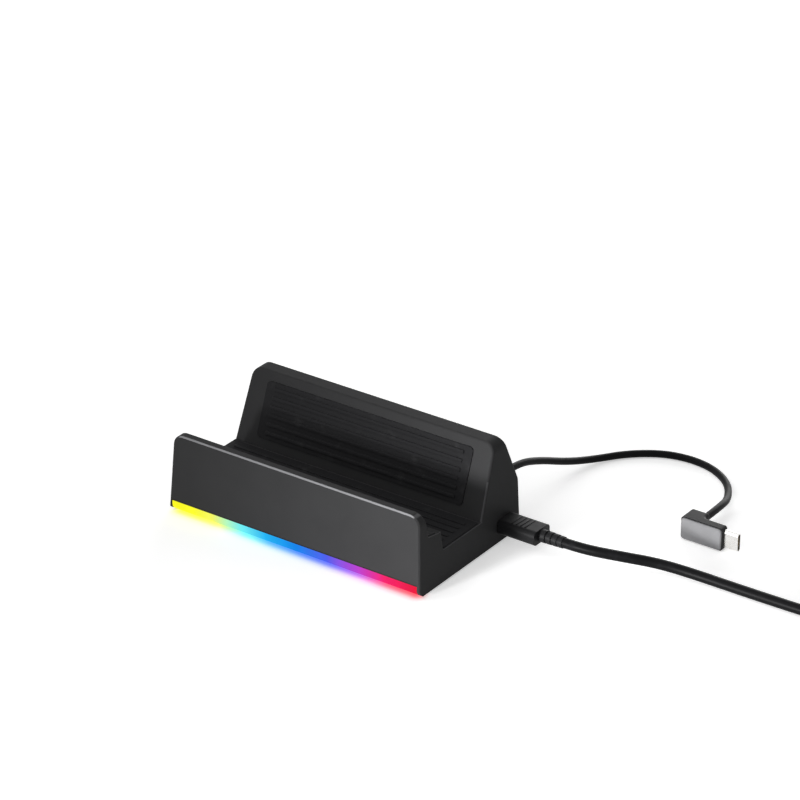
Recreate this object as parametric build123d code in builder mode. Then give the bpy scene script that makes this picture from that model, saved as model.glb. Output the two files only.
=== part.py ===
"""Docking stand with a lit front plate, a captive lead and a power lead, in millimetres.

X runs along the stand, Y from its front plate to its back and Z up from the table.
The origin is on the table under the middle of the stand.
"""
import os
from math import cos, pi, radians, sin, sqrt, tan

from build123d import *

os.makedirs("parts", exist_ok=True)

# Housing, with distances behind the front edge and heights above the table
length = 128.0
depth = 72.0
wall = 2.2
end_draft = 3.0
foot_stand = 0.8
front_foot_round = 3.5
plate_top = 36.3
plate_lean = 3.6
plate_top_thickness = 3.8
plate_corner = 5.0
edge_break = 0.6
shelf_front = 7.9
shelf_front_height = 25.2
shelf_back = 14.4
shelf_back_height = 24.1
ridge_back = 16.4
ridge_height = 24.3
trough_front = 17.5
trough_height = 15.3
rest_top = 46.0
rest_lean = 20.8
rest_top_thickness = 7.0
rest_setback = 8.84
rest_corner = 5.0
rest_edge_round = 1.2
end_edge_round = 0.4
band_over_panel = 2.6
inner_round = 0.6
fit = 0.1

# Soft pads, let into shallow seats
pad_seat = 0.6
pad_thickness = 1.0
pad_end_margin = 0.7
shelf_pad_margin = 0.5
trough_pad_margin = 1.2
rest_pad_margin = 4.0
rest_pad_inset = 9.0
pad_corner = 2.0

# Light bar along the foot of the plate, and the lights behind it
bar_top = 5.85
bar_foot_flat = 0.5
bar_end_wall = 1.4
bar_tongue = 2.4
light_count = 12
light_end_margin = 5.3
light_size = 2.4
light_thickness = 0.8
light_height = 4.0
light_gap = 0.6
light_board_thickness = 1.0
light_board_height = 6.0
light_board_margin = 4.0
rib_thickness = 1.2
rib_width = 9.0
rib_height = 3.0
rib_spread = 24.0
rib_count = 3

# Bottom cover, feet and screws
cover_thickness = 1.8
foot_diameter = 11.0
foot_seat = 0.8
foot_inset = 10.0
screw_diameter = 2.6
screw_head = 5.0
screw_reach = 9.0
boss_diameter = 6.4
boss_inset_x = 26.0
boss_front = 10.0
boss_rear_inset = 4.5
boss_rear_x = 27.0
vent_count = 9
vent_pitch = 5.0
vent_length = 16.0
vent_width = 1.8
vent_back = 29.0

# Main board on posts of the cover
board_height = 5.0
board_thickness = 1.6
board_boss_margin = 10.0
board_back_gap = 5.0
board_end_gap = 1.0
post_diameter = 5.0
pin_diameter = 2.4
post_inset_x = 6.0
post_inset_y = 5.0
boss_clearance = 0.6

# Rear panel and the ports that are spaced evenly along it
panel_foot = 3.6
panel_head_margin = 1.9
panel_end_margin = 7.0
panel_flange = 1.5
panel_flange_thickness = 1.2
port_fit = 0.2
port_sheet = 0.4
network_width = 16.0
network_height = 13.4
network_depth = 17.0
network_mouth_width = 11.8
network_mouth_height = 7.2
network_mouth_depth = 13.0
network_floor = 2.0
latch_width = 6.2
latch_height = 2.0
contact_count = 8
contact_pitch = 1.02
contact_size = 0.45
contact_length = 8.0
lamp_width = 2.6
lamp_height = 1.6
lamp_depth = 2.0

data_width = 13.2
data_height = 5.9
data_depth = 14.0
data_corner = 0.7
data_tongue_width = 11.2
data_tongue_thickness = 1.9
data_tongue_rise = 0.9
tongue_setback = 1.0

video_width = 15.0
video_height = 5.8
video_depth = 11.5
video_taper = 1.6
video_shoulder = 2.6
video_tongue_width = 11.2
video_tongue_thickness = 1.3

# Small rounded port and plug tip, shared by the power port and all plugs
tip_width = 8.25
tip_thickness = 2.4
tip_reach = 6.4
tip_sheet = 0.35
tip_clearance = 0.08
power_port_depth = 7.6
power_port_inset = 11.0
power_tongue_width = 6.6
power_tongue_thickness = 0.7

# Light button and its switch
button_diameter = 5.0
button_height = 10.2
button_proud = 0.9
button_flange = 1.2
button_flange_thickness = 0.8
button_travel = 0.4
button_clearance = 0.15
switch_width = 6.2
switch_depth = 3.6
switch_top = 12.4

# Share of a lead's shorter run that each bend takes up
bend_share = 0.45

# Captive lead: gland, route and right-angle plug
console_lead_diameter = 3.2
gland_height = 17.0
gland_neck = 7.0
gland_flange = 1.5
gland_flange_thickness = 1.4
gland_boot = 14.0
gland_tip = 4.6
gland_ring_count = 4
gland_ring_pitch = 2.6
gland_ring_depth = 0.5
gland_ring_width = 1.0
plug_width = 10.4
plug_length = 20.0
plug_thickness = 5.5
plug_depth = 12.4
plug_shoulder = 8.8
plug_neck = 2.6
plug_face_thickness = 1.0
plug_face_margin = 0.4
plug_corner = 1.4

# Power lead: straight plug, route and coil
power_lead_diameter = 4.5
straight_plug_width = 12.0
straight_plug_thickness = 6.4
straight_plug_length = 18.0
straight_plug_corner = 2.4
boot_length = 11.0
boot_root = 5.8
boot_tip = 5.0
boot_ring_count = 3
boot_ring_pitch = 2.8
plug_gap = 0.3
coil_x = 220.0
coil_y = 72.15
coil_mean_radius = 27.0
coil_columns = 2
coil_layers = 3
tie_thickness = 0.8
tie_width = 8.0
tie_angle = 200.0
far_plug_shift = 2.0

# Places worked out from the sizes above
front = -depth / 2
back = depth / 2
draft_slope = tan(radians(end_draft))
lean_slope = tan(radians(plate_lean))
rest_slope = tan(radians(rest_lean))
rest_back = back - rest_setback
rest_front = rest_back - rest_top_thickness
trough_back = rest_front - (rest_top - trough_height) * rest_slope
trough_width = trough_back - front - trough_front
trough_middle = trough_front + trough_width / 2
cover_top = foot_stand + cover_thickness
panel_top = gland_height + gland_neck / 2 + panel_head_margin
port_band_top = panel_top + band_over_panel
board_top = board_height + board_thickness
board_front = trough_back - boss_rear_inset - board_boss_margin
bar_back = front + front_foot_round + bar_foot_flat


def end_at(height):
    """Half the stand's length at a height, with its drafted ends."""
    return length / 2 - (height - foot_stand) * draft_slope


def plate_face(height):
    """How far back the leaning front face is at a height."""
    return front + (height - foot_stand) * lean_slope


def end_outline(top, inset=0.0):
    """Corners of the drafted end-to-end outline, from the table up to a height."""
    foot = end_at(0) - inset
    head = end_at(top) - inset
    return [(-foot, 0), (-head, top), (head, top), (foot, 0)]


def face_plane(start, end):
    """Plane on a cradle face that runs back from one (y, z) corner to the next, at its middle."""
    middle = Vector(0, (start[0] + end[0]) / 2, (start[1] + end[1]) / 2)
    along = Vector(0, end[0] - start[0], end[1] - start[1])
    return Plane(origin=middle, x_dir=(1, 0, 0), z_dir=Vector(1, 0, 0).cross(along))


def span(start, end):
    """Distance between two (y, z) corners."""
    return sqrt((end[0] - start[0]) ** 2 + (end[1] - start[1]) ** 2)


# Cross-section of the stand, from the front foot over the plate, shelf, trough and backrest
front_foot = (front, foot_stand)
plate_front_edge = (plate_face(plate_top), plate_top)
plate_back_edge = (plate_face(plate_top) + plate_top_thickness, plate_top)
shelf_start = (front + shelf_front, shelf_front_height)
shelf_end = (front + shelf_back, shelf_back_height)
ridge_edge = (front + ridge_back, ridge_height)
trough_start = (front + trough_front, trough_height)
trough_end = (trough_back, trough_height)
rest_start_edge = (rest_front, rest_top)
rest_back_edge = (rest_back, rest_top)
band_edge = (back, port_band_top)
back_foot = (back, foot_stand)
section = [
    front_foot,
    plate_front_edge,
    plate_back_edge,
    shelf_start,
    shelf_end,
    ridge_edge,
    trough_start,
    trough_end,
    rest_start_edge,
    rest_back_edge,
    band_edge,
    back_foot,
]
section_rounds = [0, 0, 0, inner_round, 0, inner_round, inner_round, 0, 0, 0, 0, inner_round]
slope_middle = Vector(0, (rest_back + back) / 2, (rest_top + port_band_top) / 2)

foot_corner = [front_foot,
               (plate_face(bar_top), bar_top),
               (bar_back, bar_top),
               (bar_back, foot_stand)]

shelf_plane = face_plane(shelf_start, shelf_end)
trough_plane = face_plane(trough_start, trough_end)
rest_plane = face_plane(trough_end, rest_start_edge)
shelf_pad_size = (2 * (end_at(shelf_front_height) - pad_end_margin),
                  span(shelf_start, shelf_end) - 2 * shelf_pad_margin)
trough_pad_size = (2 * (end_at(trough_height) - pad_end_margin),
                   trough_width - 2 * trough_pad_margin)
rest_pad_size = (2 * (end_at(rest_top) - rest_pad_inset),
                 span(trough_end, rest_start_edge) - 2 * rest_pad_margin)
pad_seats = [(shelf_plane, shelf_pad_size, inner_round),
             (trough_plane, trough_pad_size, inner_round),
             (rest_plane, rest_pad_size, pad_corner)]

front_bosses = [(side * (length / 2 - boss_inset_x), front + boss_front) for side in (-1, 1)]
rear_bosses = [(side * boss_rear_x, trough_back - boss_rear_inset) for side in (-1, 1)]
front_boss_top = shelf_back_height - wall / 2
rear_boss_top = trough_height - wall / 2
panel_half_length = length / 2 - panel_end_margin
port_widths = [button_diameter + 2 * button_flange,
               network_width,
               data_width,
               data_width,
               data_width,
               video_width,
               gland_neck + 2 * gland_flange]
port_gap = (2 * panel_half_length - sum(port_widths)) / (len(port_widths) + 1)
port_places = [sum(port_widths[:count]) + width / 2 + (count + 1) * port_gap - panel_half_length
               for count, width in enumerate(port_widths)]
button_x, network_x, *data_places, video_x, gland_x = port_places
power_axis = board_top + tip_thickness / 2 + tip_clearance + tip_sheet
power_port_y = back - power_port_inset
power_mouth = end_at(power_axis)
slot_half_length = end_at(bar_top) - bar_end_wall

# Hollow of the housing, open underneath
with BuildPart() as core:
    with BuildSketch(Plane.YZ):
        with BuildLine():
            Polyline(*section, close=True)
        make_face()
        offset(amount=-wall, kind=Kind.INTERSECTION)
        with BuildLine():
            Polyline(
                (plate_face(cover_top) + wall, 0),
                (back - wall, 0),
                (back - wall, foot_stand + 2 * wall),
                (plate_face(foot_stand + 2 * wall) + wall, foot_stand + 2 * wall),
                close=True,
            )
        make_face()
    extrude(amount=length / 2, both=True)
    with BuildSketch(Plane.XZ.offset(-back)):
        with BuildLine():
            Polyline(*end_outline(rest_top, wall), close=True)
        make_face()
    extrude(amount=depth, mode=Mode.INTERSECT)

# Housing: plate, shelf, trough and backrest in one drafted moulding
with BuildPart() as housing:
    with BuildSketch(Plane.XZ.offset(-front - trough_middle)):
        with BuildLine():
            FilletPolyline(*end_outline(plate_top), radius=[0, plate_corner, plate_corner, 0], close=True)
        make_face()
    extrude(amount=trough_middle + wall)
    with BuildSketch(Plane.XZ.offset(-back - wall)):
        with BuildLine():
            FilletPolyline(*end_outline(rest_top), radius=[0, rest_corner, rest_corner, 0], close=True)
        make_face()
    extrude(amount=depth - trough_middle + wall)
    with BuildSketch(Plane.YZ.offset(-length / 2 - wall)):
        with BuildLine():
            FilletPolyline(*section, radius=section_rounds, close=True)
        make_face()
    extrude(amount=length + 2 * wall, mode=Mode.INTERSECT)

    # Bright broken edge round the plate's face, and rounded edges round the backrest
    plate_middle = Vector(0, plate_face(plate_top / 2), plate_top / 2)
    plate = housing.faces().sort_by_distance(plate_middle)[0]
    chamfer(plate.edges().sort_by(Axis.Z)[1:], length=edge_break)
    rest_face = housing.faces().sort_by_distance(rest_plane.origin)[0]
    slope_face = housing.faces().sort_by_distance(slope_middle)[0]
    fillet(rest_face.edges().sort_by(Axis.Z)[1:] + slope_face.edges(), radius=rest_edge_round)
    end_faces = housing.faces().sort_by(Axis.X)
    fillet(end_faces[0].edges() + end_faces[-1].edges(), radius=end_edge_round)

    # Rounded foot under the plate
    with BuildSketch(Plane.YZ.offset(-length / 2)):
        with Locations(front_foot):
            Rectangle(2 * front_foot_round, 2 * front_foot_round)
        with BuildLine():
            FilletPolyline(*foot_corner, radius=[front_foot_round, 0, 0, 0], close=True)
        make_face(mode=Mode.SUBTRACT)
    extrude(amount=length, mode=Mode.SUBTRACT)

    add(core.part, mode=Mode.SUBTRACT)

    # Bosses for the cover screws
    with BuildSketch(Plane.XY.offset(cover_top)):
        with Locations(*front_bosses):
            Circle(boss_diameter / 2)
    extrude(amount=front_boss_top - cover_top)
    with BuildSketch(Plane.XY.offset(cover_top)):
        with Locations(*rear_bosses):
            Circle(boss_diameter / 2)
    extrude(amount=rear_boss_top - cover_top)
    with BuildSketch(Plane.XY.offset(cover_top)):
        with Locations(*front_bosses, *rear_bosses):
            Circle(screw_diameter / 2 + fit)
    extrude(amount=screw_reach, mode=Mode.SUBTRACT)

    # Seats of the pads
    for plane, size, corner in pad_seats:
        with BuildSketch(plane):
            RectangleRounded(size[0], size[1], corner)
        extrude(amount=-pad_seat, mode=Mode.SUBTRACT)

    # Slot of the light bar
    with BuildSketch(Plane.YZ):
        with BuildLine():
            Polyline(
                (front - wall, foot_stand - wall),
                (front - wall, bar_top + fit),
                (bar_back, bar_top + fit),
                (bar_back, foot_stand - wall),
                close=True,
            )
        make_face()
    extrude(amount=slot_half_length, both=True, mode=Mode.SUBTRACT)

    # Window of the rear panel
    with BuildSketch(Plane.XZ.offset(-back)):
        with Locations((0, (panel_foot + panel_top) / 2)):
            RectangleRounded(2 * panel_half_length, panel_top - panel_foot, pad_corner)
    extrude(amount=wall + fit, mode=Mode.SUBTRACT)

    # Mouth of the power port in the right-hand end
    with BuildSketch(Plane.YZ.offset(length / 2)):
        with Locations((power_port_y, power_axis)):
            SlotOverall(tip_width + 2 * (tip_clearance + tip_sheet + port_fit),
                        tip_thickness + 2 * (tip_clearance + tip_sheet + port_fit))
    extrude(amount=-2 * wall, mode=Mode.SUBTRACT)
housing.part.label = "housing"
export_step(housing.part, "parts/housing.step")

# Soft pads in their seats
pads = {"shelf_pad": pad_seats[0], "trough_pad": pad_seats[1], "rest_pad": pad_seats[2]}
for name, (plane, size, corner) in pads.items():
    with BuildPart() as pad:
        with BuildSketch(plane.offset(-pad_seat)):
            RectangleRounded(size[0] - 2 * fit, size[1] - 2 * fit, corner - fit)
        extrude(amount=pad_thickness)
    pad.part.label = name
    export_step(pad.part, f"parts/{name}.step")

# Light bar: diffuser flush with the plate, with a tongue behind its foot
with BuildPart() as light_bar:
    tongue_head = bar_top + bar_tongue
    tongue_front = plate_face(tongue_head) + wall + fit
    with BuildSketch(Plane.YZ):
        with BuildLine():
            FilletPolyline(*foot_corner, radius=[front_foot_round, 0, 0, 0], close=True)
        make_face()
    extrude(amount=slot_half_length - fit, both=True)
    with BuildSketch(Plane.YZ):
        with Locations((bar_back, foot_stand)):
            Rectangle(bar_back - tongue_front, tongue_head - foot_stand, align=(Align.MAX, Align.MIN))
    extrude(amount=end_at(tongue_head) - wall - fit, both=True)
light_bar.part.label = "light_bar"
export_step(light_bar.part, "parts/light_bar.step")

# Light board standing on the cover, with its lights facing the bar
light_face = bar_back + light_gap + light_thickness
light_board_half = slot_half_length - light_board_margin
light_pitch = 2 * (light_board_half - light_end_margin) / (light_count - 1)
with BuildPart() as light_board:
    with BuildSketch(Plane.XY.offset(cover_top)):
        with Locations((0, light_face + light_board_thickness / 2)):
            Rectangle(2 * light_board_half, light_board_thickness)
    extrude(amount=light_board_height)
light_board.part.label = "light_board"
export_step(light_board.part, "parts/light_board.step")

with BuildPart() as lights:
    with BuildSketch(Plane.XZ.offset(-light_face)):
        with Locations((0, light_height)):
            with GridLocations(light_pitch, 1, light_count, 1):
                Rectangle(light_size, light_size)
    extrude(amount=light_thickness)
lights.part.label = "lights"
export_step(lights.part, "parts/lights.step")

# Bottom cover with its vents, posts and ribs
cover_front = bar_back + fit
cover_back = back - wall - fit
cover_half = end_at(cover_top) - wall - fit
board_half = end_at(board_top) - wall - board_end_gap
board_depth = back - board_back_gap - board_front
board_middle = board_front + board_depth / 2
post_span = (2 * (board_half - post_inset_x), board_depth - 2 * post_inset_y)
foot_span = (2 * (cover_half - foot_inset), cover_back - cover_front - 2 * foot_inset)
cover_middle = (cover_front + cover_back) / 2
with BuildPart() as bottom_cover:
    with BuildSketch(Plane.XY.offset(foot_stand)):
        with Locations((0, cover_middle)):
            Rectangle(2 * cover_half, cover_back - cover_front)
    extrude(amount=cover_thickness)
    with BuildSketch(Plane.XY.offset(cover_top)):
        with Locations((0, board_middle)):
            with GridLocations(*post_span, 2, 2):
                Circle(post_diameter / 2)
    extrude(amount=board_height - cover_top)
    with BuildSketch(Plane.XY.offset(board_height)):
        with Locations((0, board_middle)):
            with GridLocations(*post_span, 2, 2):
                Circle(pin_diameter / 2)
    extrude(amount=board_thickness)
    with BuildSketch(Plane.XY.offset(cover_top)):
        with Locations((0, light_face + light_board_thickness + fit + rib_thickness / 2)):
            with GridLocations(rib_spread, 1, rib_count, 1):
                Rectangle(rib_width, rib_thickness)
    extrude(amount=rib_height)
    with BuildSketch(Plane.XY.offset(foot_stand)):
        with Locations((0, front + vent_back)):
            with GridLocations(vent_pitch, 1, vent_count, 1):
                SlotOverall(vent_length, vent_width, rotation=90)
    extrude(amount=cover_thickness, mode=Mode.SUBTRACT)
    with BuildSketch(Plane.XY.offset(foot_stand)):
        with Locations((0, cover_middle)):
            with GridLocations(*foot_span, 2, 2):
                Circle(foot_diameter / 2 + fit)
    extrude(amount=foot_seat, mode=Mode.SUBTRACT)
    with Locations(Plane(origin=(0, 0, foot_stand), x_dir=(1, 0, 0), z_dir=(0, 0, -1))):
        with Locations(*[(x, -y) for x, y in front_bosses + rear_bosses]):
            CounterSinkHole(screw_diameter / 2 + fit, screw_head / 2 + fit)
bottom_cover.part.label = "bottom_cover"
export_step(bottom_cover.part, "parts/bottom_cover.step")

# Rubber feet in the cover's round seats
for row, side_y in (("front", -1), ("rear", 1)):
    for column, side_x in (("left", -1), ("right", 1)):
        with BuildPart() as foot:
            with BuildSketch(Plane.XY):
                with Locations((side_x * foot_span[0] / 2, cover_middle + side_y * foot_span[1] / 2)):
                    Circle(foot_diameter / 2)
            extrude(amount=foot_stand + foot_seat)
            chamfer(foot.edges().sort_by(Axis.Z)[0], length=foot_stand / 2)
        foot.part.label = f"foot_{row}_{column}"
        export_step(foot.part, f"parts/foot_{row}_{column}.step")

# Countersunk cover screws
head_height = (screw_head - screw_diameter) / 2
with BuildPart() as cover_screws:
    with Locations(*[(x, y, foot_stand) for x, y in front_bosses + rear_bosses]):
        Cone(screw_head / 2, screw_diameter / 2, head_height, align=(Align.CENTER, Align.CENTER, Align.MIN))
        Cylinder(screw_diameter / 2, screw_reach, align=(Align.CENTER, Align.CENTER, Align.MIN))
cover_screws.part.label = "cover_screws"
export_step(cover_screws.part, "parts/cover_screws.step")

# Main board, held on the posts
with BuildPart() as main_board:
    with BuildSketch(Plane.XY.offset(board_height)):
        with Locations((0, board_middle)):
            RectangleRounded(2 * board_half, board_depth, pad_corner)
            with GridLocations(*post_span, 2, 2):
                Circle(pin_diameter / 2 + fit, mode=Mode.SUBTRACT)
        with Locations(*rear_bosses):
            Circle(boss_diameter / 2 + boss_clearance, mode=Mode.SUBTRACT)
    extrude(amount=board_thickness)
main_board.part.label = "main_board"
export_step(main_board.part, "parts/main_board.step")

# Chips, coils and tall capacitors, as (x, distance behind the board's front, width, depth, height)
chips = [
    (-3.0, 11.0, 9.0, 9.0, 1.0),
    (36.0, 11.0, 8.0, 8.0, 1.0),
    (-39.0, 9.0, 7.0, 7.0, 0.9),
    (48.0, 12.0, 6.0, 6.0, 0.9),
    (46.0, 5.0, 6.0, 6.0, 3.0),
    (20.0, 5.0, 5.0, 4.0, 2.0),
    (14.0, 6.0, 3.2, 2.5, 0.8),
    (-16.0, 6.0, 5.0, 3.2, 0.8),
]
with BuildPart() as board_chips:
    for chip_x, chip_y, chip_width, chip_depth, chip_height in chips:
        with Locations((chip_x, board_front + chip_y, board_top)):
            Box(chip_width, chip_depth, chip_height, align=(Align.CENTER, Align.CENTER, Align.MIN))
board_chips.part.label = "board_chips"
export_step(board_chips.part, "parts/board_chips.step")


def video_outline(inset):
    """Corners of the video port's mouth: square shoulders over a tapered foot."""
    half = video_width / 2 - inset
    foot = half - video_taper
    low = board_top + inset
    high = board_top + video_height - inset
    shoulder = board_top + video_shoulder
    return [(video_x - foot, low), (video_x - half, shoulder), (video_x - half, high),
            (video_x + half, high), (video_x + half, shoulder), (video_x + foot, low)]


def data_outline(grow):
    """Rounded mouths of the three data ports, drawn in the open sketch."""
    with Locations(*[(x, board_top + data_height / 2) for x in data_places]):
        RectangleRounded(data_width + 2 * grow, data_height + 2 * grow, data_corner + grow)


# Rear panel, let into the window from inside, with the port cut-outs
network_middle = board_top + network_height / 2
with BuildPart() as rear_panel:
    panel_middle = (panel_foot + panel_top) / 2
    panel_height = panel_top - panel_foot
    with BuildSketch(Plane.XZ.offset(-back)):
        with Locations((0, panel_middle)):
            RectangleRounded(2 * (panel_half_length - fit), panel_height - 2 * fit, pad_corner - fit)
    extrude(amount=wall + fit)
    with BuildSketch(Plane.XZ.offset(-back + wall + fit)):
        with Locations((0, panel_middle)):
            RectangleRounded(2 * (panel_half_length + panel_flange), panel_height + 2 * fit, pad_corner)
    extrude(amount=panel_flange_thickness)
    with BuildSketch(Plane.XZ.offset(-back)):
        data_outline(port_fit)
        with Locations((network_x, network_middle)):
            Rectangle(network_width + 2 * port_fit, network_height + 2 * port_fit)
        with BuildLine():
            Polyline(*video_outline(-port_fit), close=True)
        make_face()
        with Locations((button_x, button_height)):
            Circle(button_diameter / 2 + button_clearance)
        with Locations((gland_x, gland_height)):
            Circle(gland_neck / 2 + fit)
    extrude(amount=wall + 2 * fit + panel_flange_thickness, mode=Mode.SUBTRACT)
rear_panel.part.label = "rear_panel"
export_step(rear_panel.part, "parts/rear_panel.step")

# Network port with its latch step, contacts and lamps
mouth_foot = board_top + network_floor + latch_height
mouth_roof = mouth_foot + network_mouth_height
lamp_places = [(network_x + side * (network_width - lamp_width - 2 * port_sheet) / 2,
                board_top + network_height - lamp_height / 2 - port_sheet) for side in (-1, 1)]
with BuildPart() as network_port:
    with BuildSketch(Plane.XZ.offset(-back)):
        with Locations((network_x, network_middle)):
            Rectangle(network_width, network_height)
    extrude(amount=network_depth)
    with BuildSketch(Plane.XZ.offset(-back)):
        with Locations((network_x, mouth_foot)):
            Rectangle(network_mouth_width, network_mouth_height, align=(Align.CENTER, Align.MIN))
            Rectangle(latch_width, 2 * latch_height)
    extrude(amount=network_mouth_depth, mode=Mode.SUBTRACT)
    with BuildSketch(Plane.XZ.offset(-back)):
        with Locations(*lamp_places):
            Rectangle(lamp_width, lamp_height)
    extrude(amount=lamp_depth, mode=Mode.SUBTRACT)
network_port.part.label = "network_port"
export_step(network_port.part, "parts/network_port.step")

with BuildPart() as network_contacts:
    with BuildSketch(Plane.XZ.offset(-back + network_mouth_depth)):
        with Locations((network_x, mouth_roof - contact_size / 2)):
            with GridLocations(contact_pitch, 1, contact_count, 1):
                Rectangle(contact_size, contact_size)
    extrude(amount=-contact_length)
network_contacts.part.label = "network_contacts"
export_step(network_contacts.part, "parts/network_contacts.step")

with BuildPart() as network_lamps:
    with BuildSketch(Plane.XZ.offset(-back)):
        with Locations(*lamp_places):
            Rectangle(lamp_width - fit, lamp_height - fit)
    extrude(amount=lamp_depth)
network_lamps.part.label = "network_lamps"
export_step(network_lamps.part, "parts/network_lamps.step")

# Data ports: folded metal shells, each with a tongue
for index, place in enumerate(data_places, start=1):
    shell_middle = board_top + data_height / 2
    with BuildPart() as data_port:
        with BuildSketch(Plane.XZ.offset(-back)):
            with Locations((place, shell_middle)):
                RectangleRounded(data_width, data_height, data_corner)
        extrude(amount=data_depth)
        with BuildSketch(Plane.XZ.offset(-back)):
            with Locations((place, shell_middle)):
                RectangleRounded(data_width - 2 * port_sheet, data_height - 2 * port_sheet,
                                 data_corner - port_sheet)
        extrude(amount=data_depth - port_sheet, mode=Mode.SUBTRACT)
    data_port.part.label = f"data_port_{index}"
    export_step(data_port.part, f"parts/data_port_{index}.step")

    with BuildPart() as data_tongue:
        with BuildSketch(Plane.XZ.offset(-back + tongue_setback)):
            with Locations((place, shell_middle + data_tongue_rise)):
                Rectangle(data_tongue_width, data_tongue_thickness)
        extrude(amount=data_depth - port_sheet - tongue_setback)
    data_tongue.part.label = f"data_tongue_{index}"
    export_step(data_tongue.part, f"parts/data_tongue_{index}.step")

# Video port: tapered metal shell with its tongue
with BuildPart() as video_port:
    with BuildSketch(Plane.XZ.offset(-back)):
        with BuildLine():
            Polyline(*video_outline(0), close=True)
        make_face()
    extrude(amount=video_depth)
    with BuildSketch(Plane.XZ.offset(-back)):
        with BuildLine():
            Polyline(*video_outline(port_sheet), close=True)
        make_face()
    extrude(amount=video_depth - port_sheet, mode=Mode.SUBTRACT)
video_port.part.label = "video_port"
export_step(video_port.part, "parts/video_port.step")

with BuildPart() as video_tongue:
    with BuildSketch(Plane.XZ.offset(-back + tongue_setback)):
        with Locations((video_x, board_top + video_height / 2)):
            Rectangle(video_tongue_width, video_tongue_thickness)
    extrude(amount=video_depth - port_sheet - tongue_setback)
video_tongue.part.label = "video_tongue"
export_step(video_tongue.part, "parts/video_tongue.step")

# Power port in the right-hand end: rounded shell round a thin tongue
power_inner = (tip_width + 2 * tip_clearance, tip_thickness + 2 * tip_clearance)
power_back = power_mouth - power_port_depth + tip_sheet
with BuildPart() as power_port:
    with BuildSketch(Plane.YZ.offset(power_mouth)):
        with Locations((power_port_y, power_axis)):
            SlotOverall(power_inner[0] + 2 * tip_sheet, power_inner[1] + 2 * tip_sheet)
    extrude(amount=-power_port_depth)
    with BuildSketch(Plane.YZ.offset(power_mouth)):
        with Locations((power_port_y, power_axis)):
            SlotOverall(*power_inner)
    extrude(amount=power_back - power_mouth, mode=Mode.SUBTRACT)
power_port.part.label = "power_port"
export_step(power_port.part, "parts/power_port.step")

with BuildPart() as power_tongue:
    with BuildSketch(Plane.YZ.offset(power_back)):
        with Locations((power_port_y, power_axis)):
            Rectangle(power_tongue_width, power_tongue_thickness)
    extrude(amount=power_mouth - power_back - tongue_setback)
power_tongue.part.label = "power_tongue"
export_step(power_tongue.part, "parts/power_tongue.step")

# Light button, trapped behind the panel, and the switch that springs it out
flange_seat = back - wall - fit - panel_flange_thickness
button_back = flange_seat - button_flange_thickness
with BuildPart() as light_button:
    with BuildSketch(Plane.XZ.offset(-button_back)):
        with Locations((button_x, button_height)):
            Circle(button_diameter / 2 + button_flange)
    extrude(amount=-button_flange_thickness)
    with BuildSketch(Plane.XZ.offset(-button_back)):
        with Locations((button_x, button_height)):
            Circle(button_diameter / 2)
    extrude(amount=button_back - back - button_proud)
    fillet(light_button.edges().sort_by(Axis.Y)[-1], radius=button_travel)
light_button.part.label = "light_button"
export_step(light_button.part, "parts/light_button.step")

switch_face = button_back - button_travel - fit
with BuildPart() as light_switch:
    with BuildSketch(Plane.XZ.offset(-switch_face)):
        with Locations((button_x, (board_top + switch_top) / 2)):
            Rectangle(switch_width, switch_top - board_top)
    extrude(amount=switch_depth)
light_switch.part.label = "light_switch"
export_step(light_switch.part, "parts/light_switch.step")

# Gland of the captive lead, clamped on the panel, with a ringed boot
gland_inner = flange_seat - gland_flange_thickness
boot_end = back + gland_boot
with BuildPart() as lead_gland:
    with BuildSketch(Plane.YZ.offset(gland_x)):
        with BuildLine():
            Polyline(
                (gland_inner, gland_height),
                (gland_inner, gland_height + gland_neck / 2 + gland_flange),
                (flange_seat, gland_height + gland_neck / 2 + gland_flange),
                (flange_seat, gland_height + gland_neck / 2),
                (back, gland_height + gland_neck / 2),
                (boot_end, gland_height + gland_tip / 2),
                (boot_end, gland_height),
                close=True,
            )
        make_face()
    revolve(axis=Axis((gland_x, 0, gland_height), (0, 1, 0)))
    for ring in range(gland_ring_count):
        with BuildSketch(Plane.XZ.offset(-back - (ring + 1) * gland_ring_pitch)):
            with Locations((gland_x, gland_height)):
                Circle(gland_neck / 2 + fit)
                Circle(gland_tip / 2 - gland_ring_depth
                       + (gland_neck - gland_tip) / 2 * (1 - (ring + 1) * gland_ring_pitch / gland_boot),
                       mode=Mode.SUBTRACT)
        extrude(amount=-gland_ring_width, mode=Mode.SUBTRACT)
lead_gland.part.label = "lead_gland"
export_step(lead_gland.part, "parts/lead_gland.step")


def bend_radii(points):
    """Largest radius at each corner of a lead's route that its two runs leave room for."""
    radii = []
    for before, corner, after in zip(points, points[1:], points[2:]):
        arriving = Vector(*corner) - Vector(*before)
        leaving = Vector(*after) - Vector(*corner)
        half_turn = radians(arriving.get_angle(leaving)) / 2
        radii.append(bend_share * min(arriving.length, leaving.length) / tan(half_turn))
    return radii


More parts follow.
